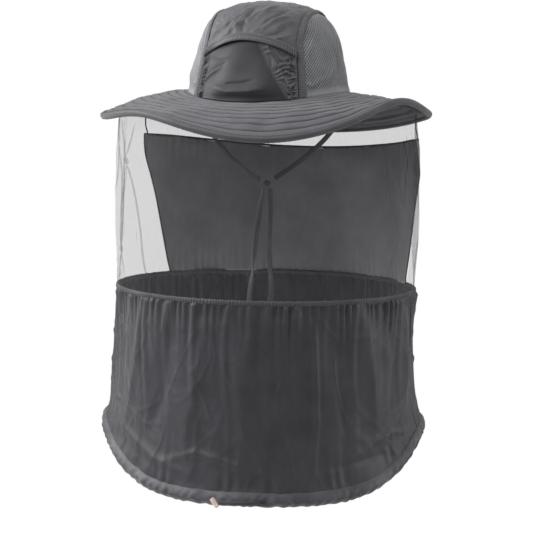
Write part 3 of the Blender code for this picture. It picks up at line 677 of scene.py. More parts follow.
# The lining's dark tones are partly painted shade of the sunken pocket; the third colour is the crown
# cloth's grey.
POCKET_CLOTH = two_tone(woven("pocket lining", (56, 55, 60), (46, 45, 50), 2600, 0.5, 0.25, 0.00014),
                        (84, 84, 88))
POCKET_FOLDS = [
    ([(15, 56), (20, 40), (27, 22), (34, 2)], 1.7, 2.2),
    ([(18, 52), (23, 36), (30, 18), (36, 4)], 1.8, -1.7), ([(22, 48), (28, 32), (33, 18)], 1.5, 1.5),
    ([(26, 40), (31, 30), (36, 24)], 1.4, 1.3), ([(-17, 30), (-27, 22), (-37, 8)], 2.4, 1.7),
    ([(-14, 34), (-24, 27), (-35, 15)], 2.0, -1.2),
    ([(-26, 14), (-12, 11), (0, 13), (10, 17)], 2.0, -1.2),
    ([(-24, 8), (-10, 4), (4, 5), (18, 8)], 4.0, 2.2), ([(-30, 42), (-22, 38), (-10, 40)], 2.8, 0.9),
]


def pocket_grid(rows, columns):
    """Grid of the pocket: share of its height from the mouth down, share across, angle, height."""
    down, across = np.meshgrid(np.linspace(0, 1, rows), np.linspace(-1, 1, columns), indexing="ij")
    theta = across * POCKET_EDGE_SHARE * SEAM_ANGLE
    base = seam_height(theta) + ASSEMBLY_GAP + GAP
    return down, across, theta, base + (pocket_top(across) - base) * (1 - down)


def make_pocket():
    """Panel that hangs slack below its hem band, ruffled along the elastic sides."""
    down, across, theta, height = pocket_grid(150, 210)
    flat = crown_wall(theta, height, 0.0)
    relief = folds_of(flat, POCKET_FOLDS, on_wall) + 0.4 * MM * rumple(flat, 30 * MM, 51)
    sunk = -1.1 * MM * np.exp(-((down - 0.27) / 0.14) ** 2) * (1 - across ** 4)
    belly = 2.2 * MM * np.exp(-((down - 0.8) / 0.16) ** 2) * (1 - across ** 2)
    ruffle = 1.1 * MM * np.sin(height / (0.62 * MM) + 5 * rumple(flat, 14 * MM, 54))
    ruffle *= np.exp(-((np.abs(across) - 0.9) / 0.07) ** 2) * np.clip((down - 0.12) * 8, 0, 1)
    slack = np.clip((1 - np.abs(across)) * 8 + 0.1, 0, 1) * np.clip((1 - down) * 9 + 0.1, 0, 1)
    creased = np.clip((across - 0.2 - 0.6 * down) * 6, 0, 1) * np.clip((down - 0.1) * 8, 0, 1)
    wander = 9 * across + 4 * rumple(flat, 18 * MM, 55)
    relief += 0.8 * MM * creased * np.sin(height / (1.1 * MM) + wander)
    lift = POCKET_LIFT + THIN / 2 + (relief + sunk + belly) * slack + ruffle
    # Part towards the wearer's left in the crown cloth's grey, without the dark tone that is partly painted
    # shade.
    turned = np.clip((across - 0.16 - 0.62 * down) * 14, 0, 1)
    points = crown_wall(theta, height, np.maximum(lift, 1.3 * MM))
    panel = cloth_surface("pocket_panel_cloth", points, marks=turned)
    give_wall(panel, THIN)
    panel.data.materials.append(POCKET_CLOTH)
    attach(panel, "hat")
    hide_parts("crown_front_pocket")


def band_point(across, turn):
    """Point of the mouth's hem band: turn is 0 at its upper edge and 1 at its lower edge."""
    theta = across * POCKET_EDGE_SHARE * SEAM_ANGLE
    height = pocket_top(across) + 1.2 * MM - (POCKET_BAND + 1.6 * MM) * turn
    flat = crown_wall(theta, height, 0.0)
    plump = 1.0 * MM * np.clip(1 - (2 * turn - 1) ** 4, 0, 1)
    groove = 0.5 * MM * sum(np.exp(-((turn - line) / 0.07) ** 2) for line in POCKET_STITCH_LINES)
    ruffle = 0.9 * MM * np.sin(theta * 190 + 2.5 * turn + 3 * rumple(flat, 20 * MM, 61))
    ruffle *= np.clip((np.abs(across) - 0.62) * 3.2, 0.12, 1)
    stand = 0.8 * MM * np.cos(across * 5 + 1) + 1.1 * MM * turn
    return crown_wall(theta, height, POCKET_LIFT + THIN + GAP + THIN / 2 + plump - groove
                      + ruffle * (0.4 + 0.6 * turn) + stand * (1 - across ** 4))


def make_pocket_band():
    """Turned hem of the pocket's mouth, with two rows of stitches near its upper edge."""
    turn, across = np.meshgrid(np.linspace(0, 1, 20), np.linspace(-1, 1, 300), indexing="ij")
    band = cloth_surface("pocket_mouth_band", band_point(across, turn))
    give_wall(band, THIN)
    band.data.materials.append(CROWN_CLOTH)
    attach(band, "hat")
    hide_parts("pocket_hem_band")
    rows = []
    for turn in POCKET_STITCH_LINES:
        across = np.linspace(-0.98, 0.98, 200)
        path = band_point(across, np.full_like(across, turn))
        rows.append((path, unit(path * (1, 1, 0))))
    stitches("pocket_mouth_stitches", rows, "hat")


make_pocket()
make_pocket_band()


def dress_node(node, material):
    """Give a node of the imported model, shown as it is, this material."""
    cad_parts[node].material_slots[0].material = material


def braided(name, light, deep, size):
    """Braided elastic or tape, patterned by its place: crossing bands of tone and height."""
    material, tree, shader = new_material(name)
    place = add_node(tree, "TexCoord")
    braid = add_node(tree, "TexWave", {"Vector": place.outputs["Object"], "Scale": size,
                                       "Distortion": 1.5, "Detail": 2.0}, bands_direction="DIAGONAL")
    tree.links.new(mixed(tree, braid.outputs["Fac"], linear(deep), linear(light)),
                   shader.inputs["Base Color"])
    relief = add_node(tree, "Bump", {"Height": braid.outputs["Fac"], "Distance": 0.0003})
    tree.links.new(relief.outputs[0], shader.inputs["Normal"])
    shader.inputs["Roughness"].default_value = 0.7
    return material


ELASTIC = braided("braided elastic", (62, 62, 66), (40, 40, 43), 260)
for node in ("pocket_elastic_left", "pocket_elastic_right", "hem_elastic"):
    dress_node(node, ELASTIC)

# ---- sweatband -------------------------------------------------------------------------------
# Soft ribbed tape inside the crown's foot, sewn along its lower edge and free above, so it lies in
# slow waves against the cloth.
SWEATBAND_CLOTH = woven("sweatband", (66, 66, 70), (54, 54, 58), 1300, 0.8, 0.4, 0.0003)


def make_sweatband():
    """Closed band inside the crown, a little wavy at its free upper edge."""
    down, theta = np.meshgrid(np.linspace(1, 0, 22), np.linspace(0, 2 * math.pi, 361)[:-1], indexing="ij")
    height = seam_height(theta) + ASSEMBLY_GAP + GAP + 32 * MM * down
    wave = 1.0 * MM * np.sin(7 * theta + 1) * down ** 2 + 0.5 * MM * np.sin(17 * theta) * down
    ribs = 0.25 * MM * np.abs(np.sin(down * 5 * math.pi))
    lift = -CLOTH / 2 - 2 * GAP - 0.6 * MM - 1.0 * MM * down - np.abs(wave) + ribs
    band = cloth_surface("sweatband_tape", crown_wall(theta, height, lift), closed=True)
    give_wall(band, CLOTH)
    band.data.materials.append(SWEATBAND_CLOTH)
    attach(band, "hat")
    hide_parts("sweatband")


make_sweatband()

# ---- brim ------------------------------------------------------------------------------------
# Two layers of crown cloth with a thin foam stiffener between them, quilted together by rings of
# stitching. The sewn rings sink into the cloth and the cloth swells between them.
# The cloth is also painted darker along the sewn rings, as shade in their grooves.
BRIM_HALF_WIDTH = 172 * MM
BRIM_HALF_LENGTH = 185 * MM
BRIM_EDGE_FRONT = -37.5 * MM
BRIM_EDGE_SIDE = -17.5 * MM
BRIM_WAVES = [(-75.0, 28.0, -3 * MM, 6 * MM), (-30.0, 23.0, 15 * MM, 0.0), (18.0, 18.0, -4.5 * MM, 0.0),
              (66.0, 20.0, 20 * MM, 0.0), (110.0, 30.0, 3 * MM, 0.0)]
BRIM_THICKNESS = 3 * CLOTH + 2 * GAP
BRIM_RINGS = 0.05 + 0.106 * np.arange(9)


def brim_wave(theta):
    """Rise and outward reach of the brim's edge at theta: a bell for each wave."""
    rise, reach = 0 * theta, 0 * theta
    for angle, width, up, out in BRIM_WAVES:
        away = (np.degrees(theta) - angle + 180) % 360 - 180
        bell = np.exp(-(away / width) ** 2)
        rise, reach = rise + up * bell, reach + out * bell
    return rise, reach


def brim_flat(share, theta):
    """Middle of the brim's upper face: share 0 at the crown, 1 at the edge, drooping towards the edge."""
    rise, reach = brim_wave(theta)
    wave = np.abs(share) ** 3
    inner_x, inner_y = oval(CROWN_HALF_WIDTH - THIN, CROWN_HALF_LENGTH - THIN, theta)
    outer_x, outer_y = oval(BRIM_HALF_WIDTH + reach * wave, BRIM_HALF_LENGTH + reach * wave, theta)
    middle = (BRIM_EDGE_FRONT + BRIM_EDGE_SIDE) / 2
    half = (BRIM_EDGE_SIDE - BRIM_EDGE_FRONT) / 2
    drop = seam_height(theta) - (middle - half * np.cos(2 * theta))
    height = seam_height(theta) - drop * (0.3 * share + 0.7 * np.abs(share) ** 2.5) + rise * wave
    return np.stack([inner_x + (outer_x - inner_x) * share, inner_y + (outer_y - inner_y) * share,
                     height], -1)


def brim_frame(share, theta):
    """Point of the brim with its outward tangent and its upward normal."""
    step = 1e-4
    tangent = unit(brim_flat(share, theta) - brim_flat(share - step, theta))
    along = brim_flat(share, theta + step) - brim_flat(share, theta - step)
    return brim_flat(share, theta), tangent, unit(np.cross(tangent, along))


def brim_point(share, theta, lift):
    """Point of the brim, lifted along its normal."""
    point, _, normal = brim_frame(share, theta)
    return point + np.asarray(lift)[..., None] * normal


# The second colour is painted shade along the quilting's sewn grooves.
BRIM_CLOTH = two_tone(woven("brim cloth", (102, 102, 107), (90, 90, 95), 3000, 0.55, 0.3, 0.00012),
                      (26, 26, 29))


def quilting(share, theta):
    """Relief of the quilted cloth: sunk at each stitched ring, swollen and slightly puckered between."""
    width = BRIM_HALF_WIDTH - CROWN_HALF_WIDTH
    flat = brim_flat(share, theta)
    away = np.abs(share[..., None] - BRIM_RINGS).min(-1) * width
    groove = -1.0 * MM * np.exp(-(away / (1.1 * MM)) ** 2)
    pucker = 0.22 * MM * np.sin(theta * 230 + 5 * rumple(flat, 50 * MM, 71)) * np.exp(-away / (2.2 * MM))
    soft = 0.5 * MM * rumple(flat, 34 * MM, 72) + 0.3 * MM * (crinkle(flat, 20 * MM, 73) - 0.4)
    return groove + pucker + soft * np.clip(share * 6, 0, 1) * np.clip((1 - share) * 8, 0.2, 1)


def ring_shade(share):
    """How much painted shade darkens the cloth near each stitched ring, in the groove where it is drawn
    down into the foam.
    """
    away = np.abs(share[..., None] - BRIM_RINGS).min(-1) * (BRIM_HALF_WIDTH - CROWN_HALF_WIDTH)
    return 0.75 * np.exp(-(away / (0.9 * MM)) ** 2)


def ring_theta(columns):
    """Equal angles all round, starting at the back."""
    return math.pi + np.arange(columns) * (2 * math.pi / columns)


def make_brim_layer(name, node, lift, sign, rows, columns):
    """Upper (sign 1) or lower (sign -1) layer of quilted cloth."""
    share, theta = np.meshgrid(np.linspace(0, 1, rows), ring_theta(columns), indexing="ij")
    points = brim_point(share, theta, lift + sign * 0.35 * MM + sign * quilting(share, theta))
    # Painted shade along the sewn rings.
    shade = ring_shade(share)
    if sign < 0:
        points, shade = points[::-1], shade[::-1]
    layer = cloth_surface(name, points, closed=True, marks=shade)
    give_wall(layer, CLOTH)
    layer.data.materials.append(BRIM_CLOTH)
    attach(layer, "hat")
    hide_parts(node)


def brim_stitches():
    """Rings of stitches that sit in the quilting's grooves, on both faces."""
    rows = []
    for ring in BRIM_RINGS:
        theta = math.pi + np.linspace(0, 2 * math.pi, 721)
        share = np.full_like(theta, ring)
        _, _, normal = brim_frame(share, theta)
        for lift, sign in ((0.0, 1), (-BRIM_THICKNESS, -1)):
            relief = sign * (0.45 * MM + quilting(share, theta))
            rows.append((brim_point(share, theta, lift + relief), sign * normal))
    stitches("brim_stitches", rows, "hat", length=2.7 * MM, pitch=3.6 * MM)


make_brim_layer("brim_upper_cloth", "brim_upper", 0.0, 1, 94, 480)
make_brim_layer("brim_lower_cloth", "brim_lower", -BRIM_THICKNESS, -1, 64, 400)
brim_stitches()


def foam(name, light, deep):
    """Closed-cell foam sheet: pale, matt, with fine cells."""
    material, tree, shader = new_material(name)
    place = add_node(tree, "TexCoord")
    cells = add_node(tree, "TexVoronoi", {"Vector": place.outputs["Object"], "Scale": 900.0})
    tree.links.new(mixed(tree, cells.outputs["Distance"], linear(deep), linear(light)),
                   shader.inputs["Base Color"])
    relief = add_node(tree, "Bump", {"Height": cells.outputs["Distance"], "Distance": 0.0003})
    tree.links.new(relief.outputs[0], shader.inputs["Normal"])
    shader.inputs["Roughness"].default_value = 0.9
    return material


def make_stiffener():
    """Foam ring between the brim's two cloth layers."""
    share, theta = np.meshgrid(np.linspace(0.03, 0.985, 16), ring_theta(300), indexing="ij")
    ring = cloth_surface("brim_foam", brim_point(share, theta, -CLOTH - GAP), closed=True)
    give_wall(ring, CLOTH)
    ring.data.materials.append(foam("stiffener foam", (120, 120, 118), (98, 98, 96)))
    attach(ring, "hat")
    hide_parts("brim_stiffener")


make_stiffener()

# ---- brim: edge wire and binding -------------------------------------------------------------
# A spring-steel wire runs round the brim's edge, and a folded tape binds edge and wire. The tape
# is sewn through from above, and its two edges show as fine lines.
WIRE_RADIUS = 0.9 * MM
BINDING_WIDTH = 6 * MM
FLAT_SHARE = 0.3                  # share of the tape's width that lies flat on each face
BINDING_CLOTH = woven("edge binding", (92, 92, 96), (76, 76, 80), 1600, 0.55, 0.3, 0.0002)


def carry(profile, middle, side, up):
    """Profile of (side, up) pairs carried along a path: rows are the profile's points."""
    return np.stack([middle + out * side + high * up for out, high in profile])


def brim_edge(columns):
    """Middle of the brim's edge all round, with its outward tangent and its normal."""
    theta = ring_theta(columns)
    point, tangent, normal = brim_frame(np.ones_like(theta), theta)
    return theta, point - BRIM_THICKNESS / 2 * normal, tangent, normal


def make_edge_wire():
    """Steel wire inside the binding."""
    _, middle, tangent, normal = brim_edge(480)
    turn = np.linspace(0, -2 * math.pi, 9)
    profile = np.stack([WIRE_RADIUS + GAP + WIRE_RADIUS * np.cos(turn), -WIRE_RADIUS * np.sin(turn)], -1)
    wire = cloth_surface("brim_spring_wire", carry(profile, middle, tangent, normal), closed=True)
    steel, tree, shader = new_material("spring steel")
    tree.links.new(worn(tree, (188, 188, 192), (150, 150, 155), 120.0)[0], shader.inputs["Base Color"])
    shader.inputs["Metallic"].default_value = 1.0
    shader.inputs["Roughness"].default_value = 0.35
    wire.data.materials.append(steel)
    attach(wire, "hat")
    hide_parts("brim_edge_wire")


def binding_point(theta, middle, tangent, normal, turn):
    """Point of the folded tape: turn is 0 at its upper edge, 0.5 at its nose, 1 at its lower edge."""
    nose = 2 * (WIRE_RADIUS + GAP) + THIN
    high = BRIM_THICKNESS / 2 + GAP + THIN / 2 + 0.5 * MM
    angle = np.clip((turn - FLAT_SHARE) / (1 - 2 * FLAT_SHARE), 0, 1) * math.pi
    bend = 0.8 * nose
    if FLAT_SHARE <= turn <= 1 - FLAT_SHARE:
        out = nose - bend + bend * np.sin(angle)
    else:
        out = nose - BINDING_WIDTH + (BINDING_WIDTH - bend) * min(turn, 1 - turn) / FLAT_SHARE
    up = high * np.cos(angle)
    pucker = 0.28 * MM * np.sin(theta * 260 + 6 * rumple(middle, 60 * MM, 81)) * np.sin(turn * math.pi)
    plump = 0.35 * MM * np.sin(np.clip(np.abs(turn - 0.5) / 0.5, 0, 1) * math.pi)
    return middle + out * tangent + (up + (plump + pucker[:, None]) * np.sign(0.5 - turn)) * normal


def make_binding():
    """Tape folded over the brim's edge, with a row of stitches on each face."""
    theta, middle, tangent, normal = brim_edge(640)
    turns = np.concatenate([np.linspace(0, FLAT_SHARE, 7), np.linspace(0.33, 0.67, 11),
                            np.linspace(1 - FLAT_SHARE, 1, 7)])
    points = np.stack([binding_point(theta, middle, tangent, normal, turn) for turn in turns])
    tape = cloth_surface("brim_binding_tape", points, closed=True)
    give_wall(tape, THIN)
    tape.data.materials.append(BINDING_CLOTH)
    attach(tape, "hat")
    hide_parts("brim_edge_binding")
    rows = []
    for turn, sign in ((0.08, 1), (0.92, -1)):
        path = binding_point(theta, middle, tangent, normal, turn) + sign * 0.3 * MM * normal
        rows.append((np.vstack([path, path[:1]]), np.vstack([normal, normal[:1]]) * sign))
    stitches("brim_binding_stitches", rows, "hat", length=2.2 * MM, pitch=3.0 * MM)


make_edge_wire()
make_binding()

# ---- veil: face mesh -------------------------------------------------------------------------
# Fine dark net that hangs from a tape under the brim to the waist. It is one tube of net with a
# window cut in its back for the neck panel. It falls in folds at the sides, and both edges of the
# net are gathered into their tapes.
VEIL_SEAM_SHARE = 0.86
WAIST_HALF_WIDTH = 161 * MM
WAIST_HALF_LENGTH = 165 * MM
WAIST_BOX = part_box("waist_binding")
WAIST_HEIGHT = (WAIST_BOX[0][2] + WAIST_BOX[1][2]) / 2
WAIST_BAND = WAIST_BOX[1][2] - WAIST_BOX[0][2]
VEIL_TOP_LIFT = -BRIM_THICKNESS - GAP - THIN - GAP - 0.5 * THIN
VEIL_DEPTH = VEIL_TOP_LIFT + BRIM_EDGE_FRONT - WAIST_HEIGHT
NECK_PANEL_DROP = 24 * MM
NECK_HALF_ANGLE_TOP = 78.0
NECK_HALF_ANGLE_WAIST = 60.0
WINDOW_TOP = NECK_PANEL_DROP / VEIL_DEPTH
VEIL_SPREAD_POWER = 4             # the higher, the sooner the net reaches the waist's width

# Folds of the net and the cloth below it: degrees from the front, width in degrees, height in mm,
# and how far the fold leans in degrees from its top to its bottom.
VEIL_FOLDS = [
    (-104, 4.0, 5.0, 6), (-95, 3.2, -3.6, -5), (-88, 3.0, 4.6, 9), (-79, 2.6, -3.0, 4),
    (-71, 2.8, 3.4, 12), (-62, 3.4, -2.0, -6), (-50, 5.0, 1.6, 4), (-24, 8.0, 1.4, 3),
    (12, 9.0, -1.2, -4), (38, 6.0, 1.4, 5), (58, 4.0, 2.4, -8), (67, 3.0, -2.8, 5), (75, 2.8, 3.8, -7),
    (84, 2.8, -3.4, 6), (92, 3.2, 5.0, -4), (101, 3.4, -3.6, 5), (109, 3.6, 3.6, -3),
]

# Pleats: degrees at the top, a third down, two thirds down and at the waist, then width in degrees.
# The net doubles over itself along each, so it looks darker there.
VEIL_PLEATS = [
    ((-59, -47, -37, -31), 1.7), ((-70, -62, -60, -49), 1.4), ((-75, -76, -69, -72), 1.4),
    ((-84, -81, -88, -83), 1.6), ((-99, -95, -103, -97), 1.5), ((-42, -50, -56, -61), 1.2),
    ((58, 68, 72, 66), 1.2), ((74, 71, 79, 84), 1.4), ((83, 90, 86, 92), 1.6), ((100, 97, 104, 99), 1.6),
    ((70, 80, 88, 80), 1.0), ((-88, -90, -84, -92), 1.3), ((-64, -70, -74, -66), 1.0),
    ((95, 98, 92, 97), 1.3),
]


def pleated(down, theta):
    """Angle that the net really lies at, and its relief: it runs back over itself along each pleat."""
    turned, relief = 0 * theta, 0 * theta
    for angles, width in VEIL_PLEATS:
        middle = np.interp(down, (0, 0.33, 0.67, 1), angles) + 1.2 * np.sin(9 * down + angles[0])
        away = ((np.degrees(theta) - middle + 180) % 360 - 180) / width
        depth = np.clip(down * 9, 0, 1) * np.clip((1 - down) * 7, 0, 1)
        bell = away * np.exp(-away ** 2) * depth
        turned = turned - np.radians(1.9 * width) * bell
        relief = relief + 1.6 * MM * bell
    return theta + turned, relief


def gathers(theta, count, seed):
    """Uneven ripple of gathered cloth round a ring, of about -1 to 1."""
    random = np.random.default_rng(seed)
    phase = count * theta
    for turns in (5, 11, 17, 29):
        phase = phase + random.uniform(0.8, 1.8) * np.sin(turns * theta + random.uniform(0, 6.28))
    strength = 0.75 + 0.35 * np.sin(23 * theta + 1.3) * np.sin(9 * theta + 0.4)
    return np.sin(phase) * strength


def veil_folds(down, theta):
    """Outward relief of the hanging net in metres."""
    degrees = np.degrees((theta + math.pi) % (2 * math.pi) - math.pi)
    relief = 0
    for angle, width, height, lean in VEIL_FOLDS:
        middle = angle + lean * (down - 0.5) + 1.5 * np.sin(5 * down + angle)
        grown = np.clip(down * 5, 0, 1) * np.clip((1 - down) * 4, 0, 1)
        away = np.abs(degrees - middle) / width
        relief = relief + height * MM * np.exp(-away ** 1.7) * (0.25 + 0.75 * grown)
    relief = relief + 1.1 * MM * gathers(theta, 96, 91) * np.exp(-down * 7)
    relief = relief + 1.1 * MM * gathers(theta, 103, 92) * np.exp(-(1 - down) * 14)
    return relief * np.clip(down * 20 + 0.1, 0, 1) * np.clip((1 - down) * 30, 0.1, 1)


def outward(theta):
    """Level direction away from the hat's axis at theta."""
    return np.stack([np.sin(theta), -np.cos(theta), 0 * theta], -1)


def waist_ring(theta, lift):
    """Point of the waist's ring at theta, lifted."""
    x, y = oval(WAIST_HALF_WIDTH, WAIST_HALF_LENGTH, theta)
    return np.stack([x, y, 0 * x + WAIST_HEIGHT + lift], -1)


def hung(top, bottom, down, spread):
    """Point of cloth hung between two rings: down is its share of the drop, spread of the way out."""
    return top + (bottom - top) * np.stack([spread, spread, down], -1)


def veil_point(down, theta, lift=0.0, folded=1.0):
    """Point of the veil between the brim (down = 0) and the waist (down = 1), lifted outwards."""
    top = brim_point(np.full_like(theta, VEIL_SEAM_SHARE), theta, VEIL_TOP_LIFT)
    point = hung(top, waist_ring(theta, 0.6 * MM), down, 1 - (1 - down) ** VEIL_SPREAD_POWER)
    return point + (folded * veil_folds(down, theta) + lift)[..., None] * outward(theta)


def neck_edge(down):
    """Angle from the front to the neck panel's side edge."""
    half = NECK_HALF_ANGLE_TOP + (NECK_HALF_ANGLE_WAIST - NECK_HALF_ANGLE_TOP) * down
    return math.pi - np.radians(half)


def net_group():
    """Hexagonal net: 1 on its threads and 0 in its holes, from three crossing waves."""
    group, given, result = new_group("hexagonal net", {"Vector": "Vector", "Holes": "Float"},
                                     {"Threads": "Float"})
    axes = add_node(group, "SeparateXYZ", {0: given.outputs["Vector"]})
    total = None
    for degrees in (0, 60, 120):
        turn = math.radians(degrees)
        part = [add_node(group, "Math", {0: axes.outputs[axis], 1: value}, operation="MULTIPLY")
                for axis, value in ((0, math.cos(turn)), (1, math.sin(turn)))]
        run = add_node(group, "Math", {0: part[0].outputs[0], 1: part[1].outputs[0]}, operation="ADD")
        angle = add_node(group, "Math", {0: run.outputs[0], 1: given.outputs["Holes"]},
                         operation="MULTIPLY")
        full = add_node(group, "Math", {0: angle.outputs[0], 1: 2 * math.pi}, operation="MULTIPLY")
        wave = add_node(group, "Math", {0: full.outputs[0]}, operation="COSINE")
        if total is None:
            total = wave
        else:
            total = add_node(group, "Math", {0: total.outputs[0], 1: wave.outputs[0]}, operation="ADD")
    mask = add_node(group, "MapRange", {"Value": total.outputs[0], "From Min": 0.9, "From Max": -0.9})
    group.links.new(mask.outputs[0], result.inputs["Threads"])
    return group


NET = net_group()


def net_cloth(name, colour, holes, open_alpha, thread_alpha):
    """Net: see-through in its holes, with matt threads."""
    material, tree, shader = new_material(name)
    chart = add_node(tree, "UVMap", uv_map="cloth")
    net = add_node(tree, "Group", {"Vector": chart.outputs["UV"], "Holes": holes}, node_tree=NET)
    cover = add_node(tree, "MapRange", {"Value": net.outputs["Threads"], "To Min": open_alpha,
                                        "To Max": thread_alpha})
    tree.links.new(cover.outputs[0], shader.inputs["Alpha"])
    deep = [0.8 * channel for channel in colour]
    tree.links.new(worn(tree, colour, deep, 16.0)[0], shader.inputs["Base Color"])
    shader.inputs["Roughness"].default_value = 0.7
    shader.inputs["Sheen Weight"].default_value = 0.15
    shader.inputs["Specular IOR Level"].default_value = 0.2
    return material


VEIL_NET = net_cloth("veil net", (98, 98, 102), 900, 0.07, 0.31)


def make_face_mesh():
    """Net tube with a window for the neck panel."""
    front, back = 660, 160
    upper = np.linspace(0, WINDOW_TOP, 15)
    downs = np.concatenate([upper, np.linspace(WINDOW_TOP, 1, 74)[1:]])
    edge = neck_edge(downs)[:, None]
    theta = np.concatenate([-edge + 2 * edge * np.arange(front) / front,
                            edge + 2 * (math.pi - edge) * np.arange(back) / back], 1)
    down = np.repeat(downs[:, None], front + back, 1)
    keep = np.ones((len(downs) - 1, front + back), bool)
    keep[len(upper) - 1:, front:] = False
    lying, pleats = pleated(down, theta)
    free = np.clip(np.abs(np.abs((theta + math.pi) % (2 * math.pi) - math.pi) - edge) * 20, 0, 1)
    lying, pleats = theta + (lying - theta) * free, pleats * free
    net = cloth_surface("veil_face_net", veil_point(down, lying, pleats), closed=True, keep=keep)
    net.data.materials.append(VEIL_NET)
    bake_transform(net)
    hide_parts("face_mesh")


make_face_mesh()


def make_attachment_tape():
    """Tape under the brim that the net's upper edge is sewn to."""
    half = 4 * MM / (BRIM_HALF_WIDTH - CROWN_HALF_WIDTH)
    share, theta = np.meshgrid(VEIL_SEAM_SHARE + half * np.linspace(1, -1, 9), ring_theta(600),
                               indexing="ij")
    away = np.abs(share - VEIL_SEAM_SHARE) / half
    ripple = 0.2 * MM * np.sin(theta * 210) * (1 - away ** 2)
    lift = -BRIM_THICKNESS - GAP - THIN - 0.2 * MM + ripple
    tape = cloth_surface("veil_top_tape", brim_point(share, theta, lift), closed=True)
    give_wall(tape, THIN)
    tape.data.materials.append(TAPE_CLOTH)
    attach(tape, "hat")
    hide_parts("veil_attachment_tape")
    rows = []
    for offset in (-0.6, 0.6):
        theta = ring_theta(721)
        share = np.full_like(theta, VEIL_SEAM_SHARE + offset * half)
        _, _, normal = brim_frame(share, theta)
        rows.append((brim_point(share, theta, -BRIM_THICKNESS - GAP - THIN - 0.45 * MM), -normal))
    stitches("veil_top_stitches", rows, "hat")


make_attachment_tape()

# ---- veil: neck panel ------------------------------------------------------------------------
# Opaque cloth set into the back of the net to shade the neck. An overlocked seam joins it to the
# net along its top and both sides, and a short seam closes the net above its corners.
NECK_CLOTH = woven("neck cloth", (152, 152, 156), (132, 132, 136), 2600, 0.6, 0.3, 0.00016)


def neck_point(down, share):
    """Point of the neck panel: share 0 to 1 from its left edge round the back to its right edge."""
    edge = neck_edge(down) + 1.2 * MM / WAIST_HALF_WIDTH
    theta = edge + 2 * (math.pi - edge) * share
    laid_out = np.stack([theta * WAIST_HALF_WIDTH, down * VEIL_DEPTH * 0.4, 0 * theta], -1)
    return veil_point(down, theta, lift=1.4 * MM * rumple(laid_out, 60 * MM, 101), folded=1.3)


def make_neck_panel():
    """Panel whose top edge is slightly rippled by its seam."""
    down, share = np.meshgrid(np.linspace(0, 1, 80), np.linspace(0, 1, 300), indexing="ij")
    ripple = 0.006 * np.sin(share * 60 + 2) * np.sin(share * 23)
    top = WINDOW_TOP + 0.004
    fall = top + (1 - top) * (down + ripple * (1 - down) ** 6)
    panel = cloth_surface("neck_panel_cloth", neck_point(fall, share))
    give_wall(panel, CLOTH, 0.0)
    panel.data.materials.append(NECK_CLOTH)
    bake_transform(panel)
    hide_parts("rear_neck_panel")


def seam_strip(name, path, outward, width):
    """Narrow overlocked seam along a path: a low rounded strip with a twisted edge."""
    ahead = unit(np.gradient(path, axis=0))
    side = np.cross(outward, ahead)
    turn = np.linspace(0, 2 * math.pi, 9)
    twist = 0.25 * MM * np.sin(np.arange(len(path)) * 1.9)
    profile = np.stack([np.cos(turn) * width / 2, np.sin(turn) * 0.7 * MM], -1)
    rows = np.stack([path + out * (1 + twist / width)[:, None] * side + (up + twist)[:, None] * outward
                     for out, up in profile])
    seam = cloth_surface(name, rows)
    seam.data.materials.append(THREAD)
    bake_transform(seam)


def make_neck_seams():
    """Seam round the panel's three sewn edges, and the two short seams in the net above its corners."""
    down = np.linspace(1, WINDOW_TOP, 150)
    share = np.linspace(0, 1, 330)
    sides = [(down, 0 * down), (np.full_like(share, WINDOW_TOP), share), (down[::-1], 0 * down + 1)]
    path = np.concatenate([neck_point(fall, at) for fall, at in sides])
    keep = np.concatenate([[True], np.linalg.norm(np.diff(path, axis=0), axis=1) > 0.2 * MM])
    path = path[keep]
    seam_strip("neck_panel_seam", path, unit(path * (1, 1, 0)), 2.6 * MM)
    for side, sign in (("left", 1), ("right", -1)):
        fall = np.linspace(WINDOW_TOP, 0.02, 60)
        theta = sign * (neck_edge(np.full_like(fall, WINDOW_TOP)) - 0.03 * np.sin(fall * 30))
        path = veil_point(fall, theta)
        seam_strip(f"veil_net_seam_{side}", path, unit(path * (1, 1, 0)), 2.0 * MM)


make_neck_panel()
make_neck_seams()

# ---- waist binding ---------------------------------------------------------------------------
# Narrow turned band that joins the net to the skirt. Elastic inside it gathers both, so the band
# itself is finely ruffled.
WAIST_CLOTH = woven("waist band", (82, 82, 86), (68, 68, 72), 2400, 0.6, 0.25, 0.00016)
WAIST_GATHERS = 310


def squared(value, power):
    """A sine or cosine bent towards a square wave: the lower the power, the squarer."""
    return np.sign(value) * np.abs(value) ** power


def make_waist_band():
    """Rounded band with a ruffled face."""
    theta = ring_theta(1500)
    turn = np.linspace(0, -2 * math.pi, 15)[:, None]
    ruffle = gathers(theta, WAIST_GATHERS, 111)
    out = (1.5 + 0.55 * ruffle) * MM * squared(np.cos(turn), 0.7)
    up = (WAIST_BAND / 2 + 0.35 * MM * gathers(theta, 120, 112)) * squared(-np.sin(turn), 0.7)
    x, y = np.sin(theta) * (WAIST_HALF_WIDTH + out), -np.cos(theta) * (WAIST_HALF_LENGTH + out)
    band = cloth_surface("waist_band_cloth", np.stack([x, y, WAIST_HEIGHT + up], -1), closed=True)
    band.data.materials.append(WAIST_CLOTH)
    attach(band, "waist")
    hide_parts("waist_binding")


make_waist_band()

# ---- skirt -----------------------------------------------------------------------------------
# Two panels of dark nylon, gathered into the waist band above and into the hem below. They hang
# over the shoulders in broad soft folds with small sharp creases.
HEM_RADIUS = 172 * MM
HEM_HEIGHT = -406.5 * MM
HEM_SIDE_RISE = 55 * MM
HEM_TURN = math.radians(13.5)
SKIRT_TUCK = 6.5 * MM
SKIRT_FLARE_POWER = 7             # the higher, the nearer to the hem the skirt widens
SKIRT_CLOTH = woven("skirt cloth", (68, 67, 72), (55, 54, 59), 2800, 0.46, 0.22, 0.00014)

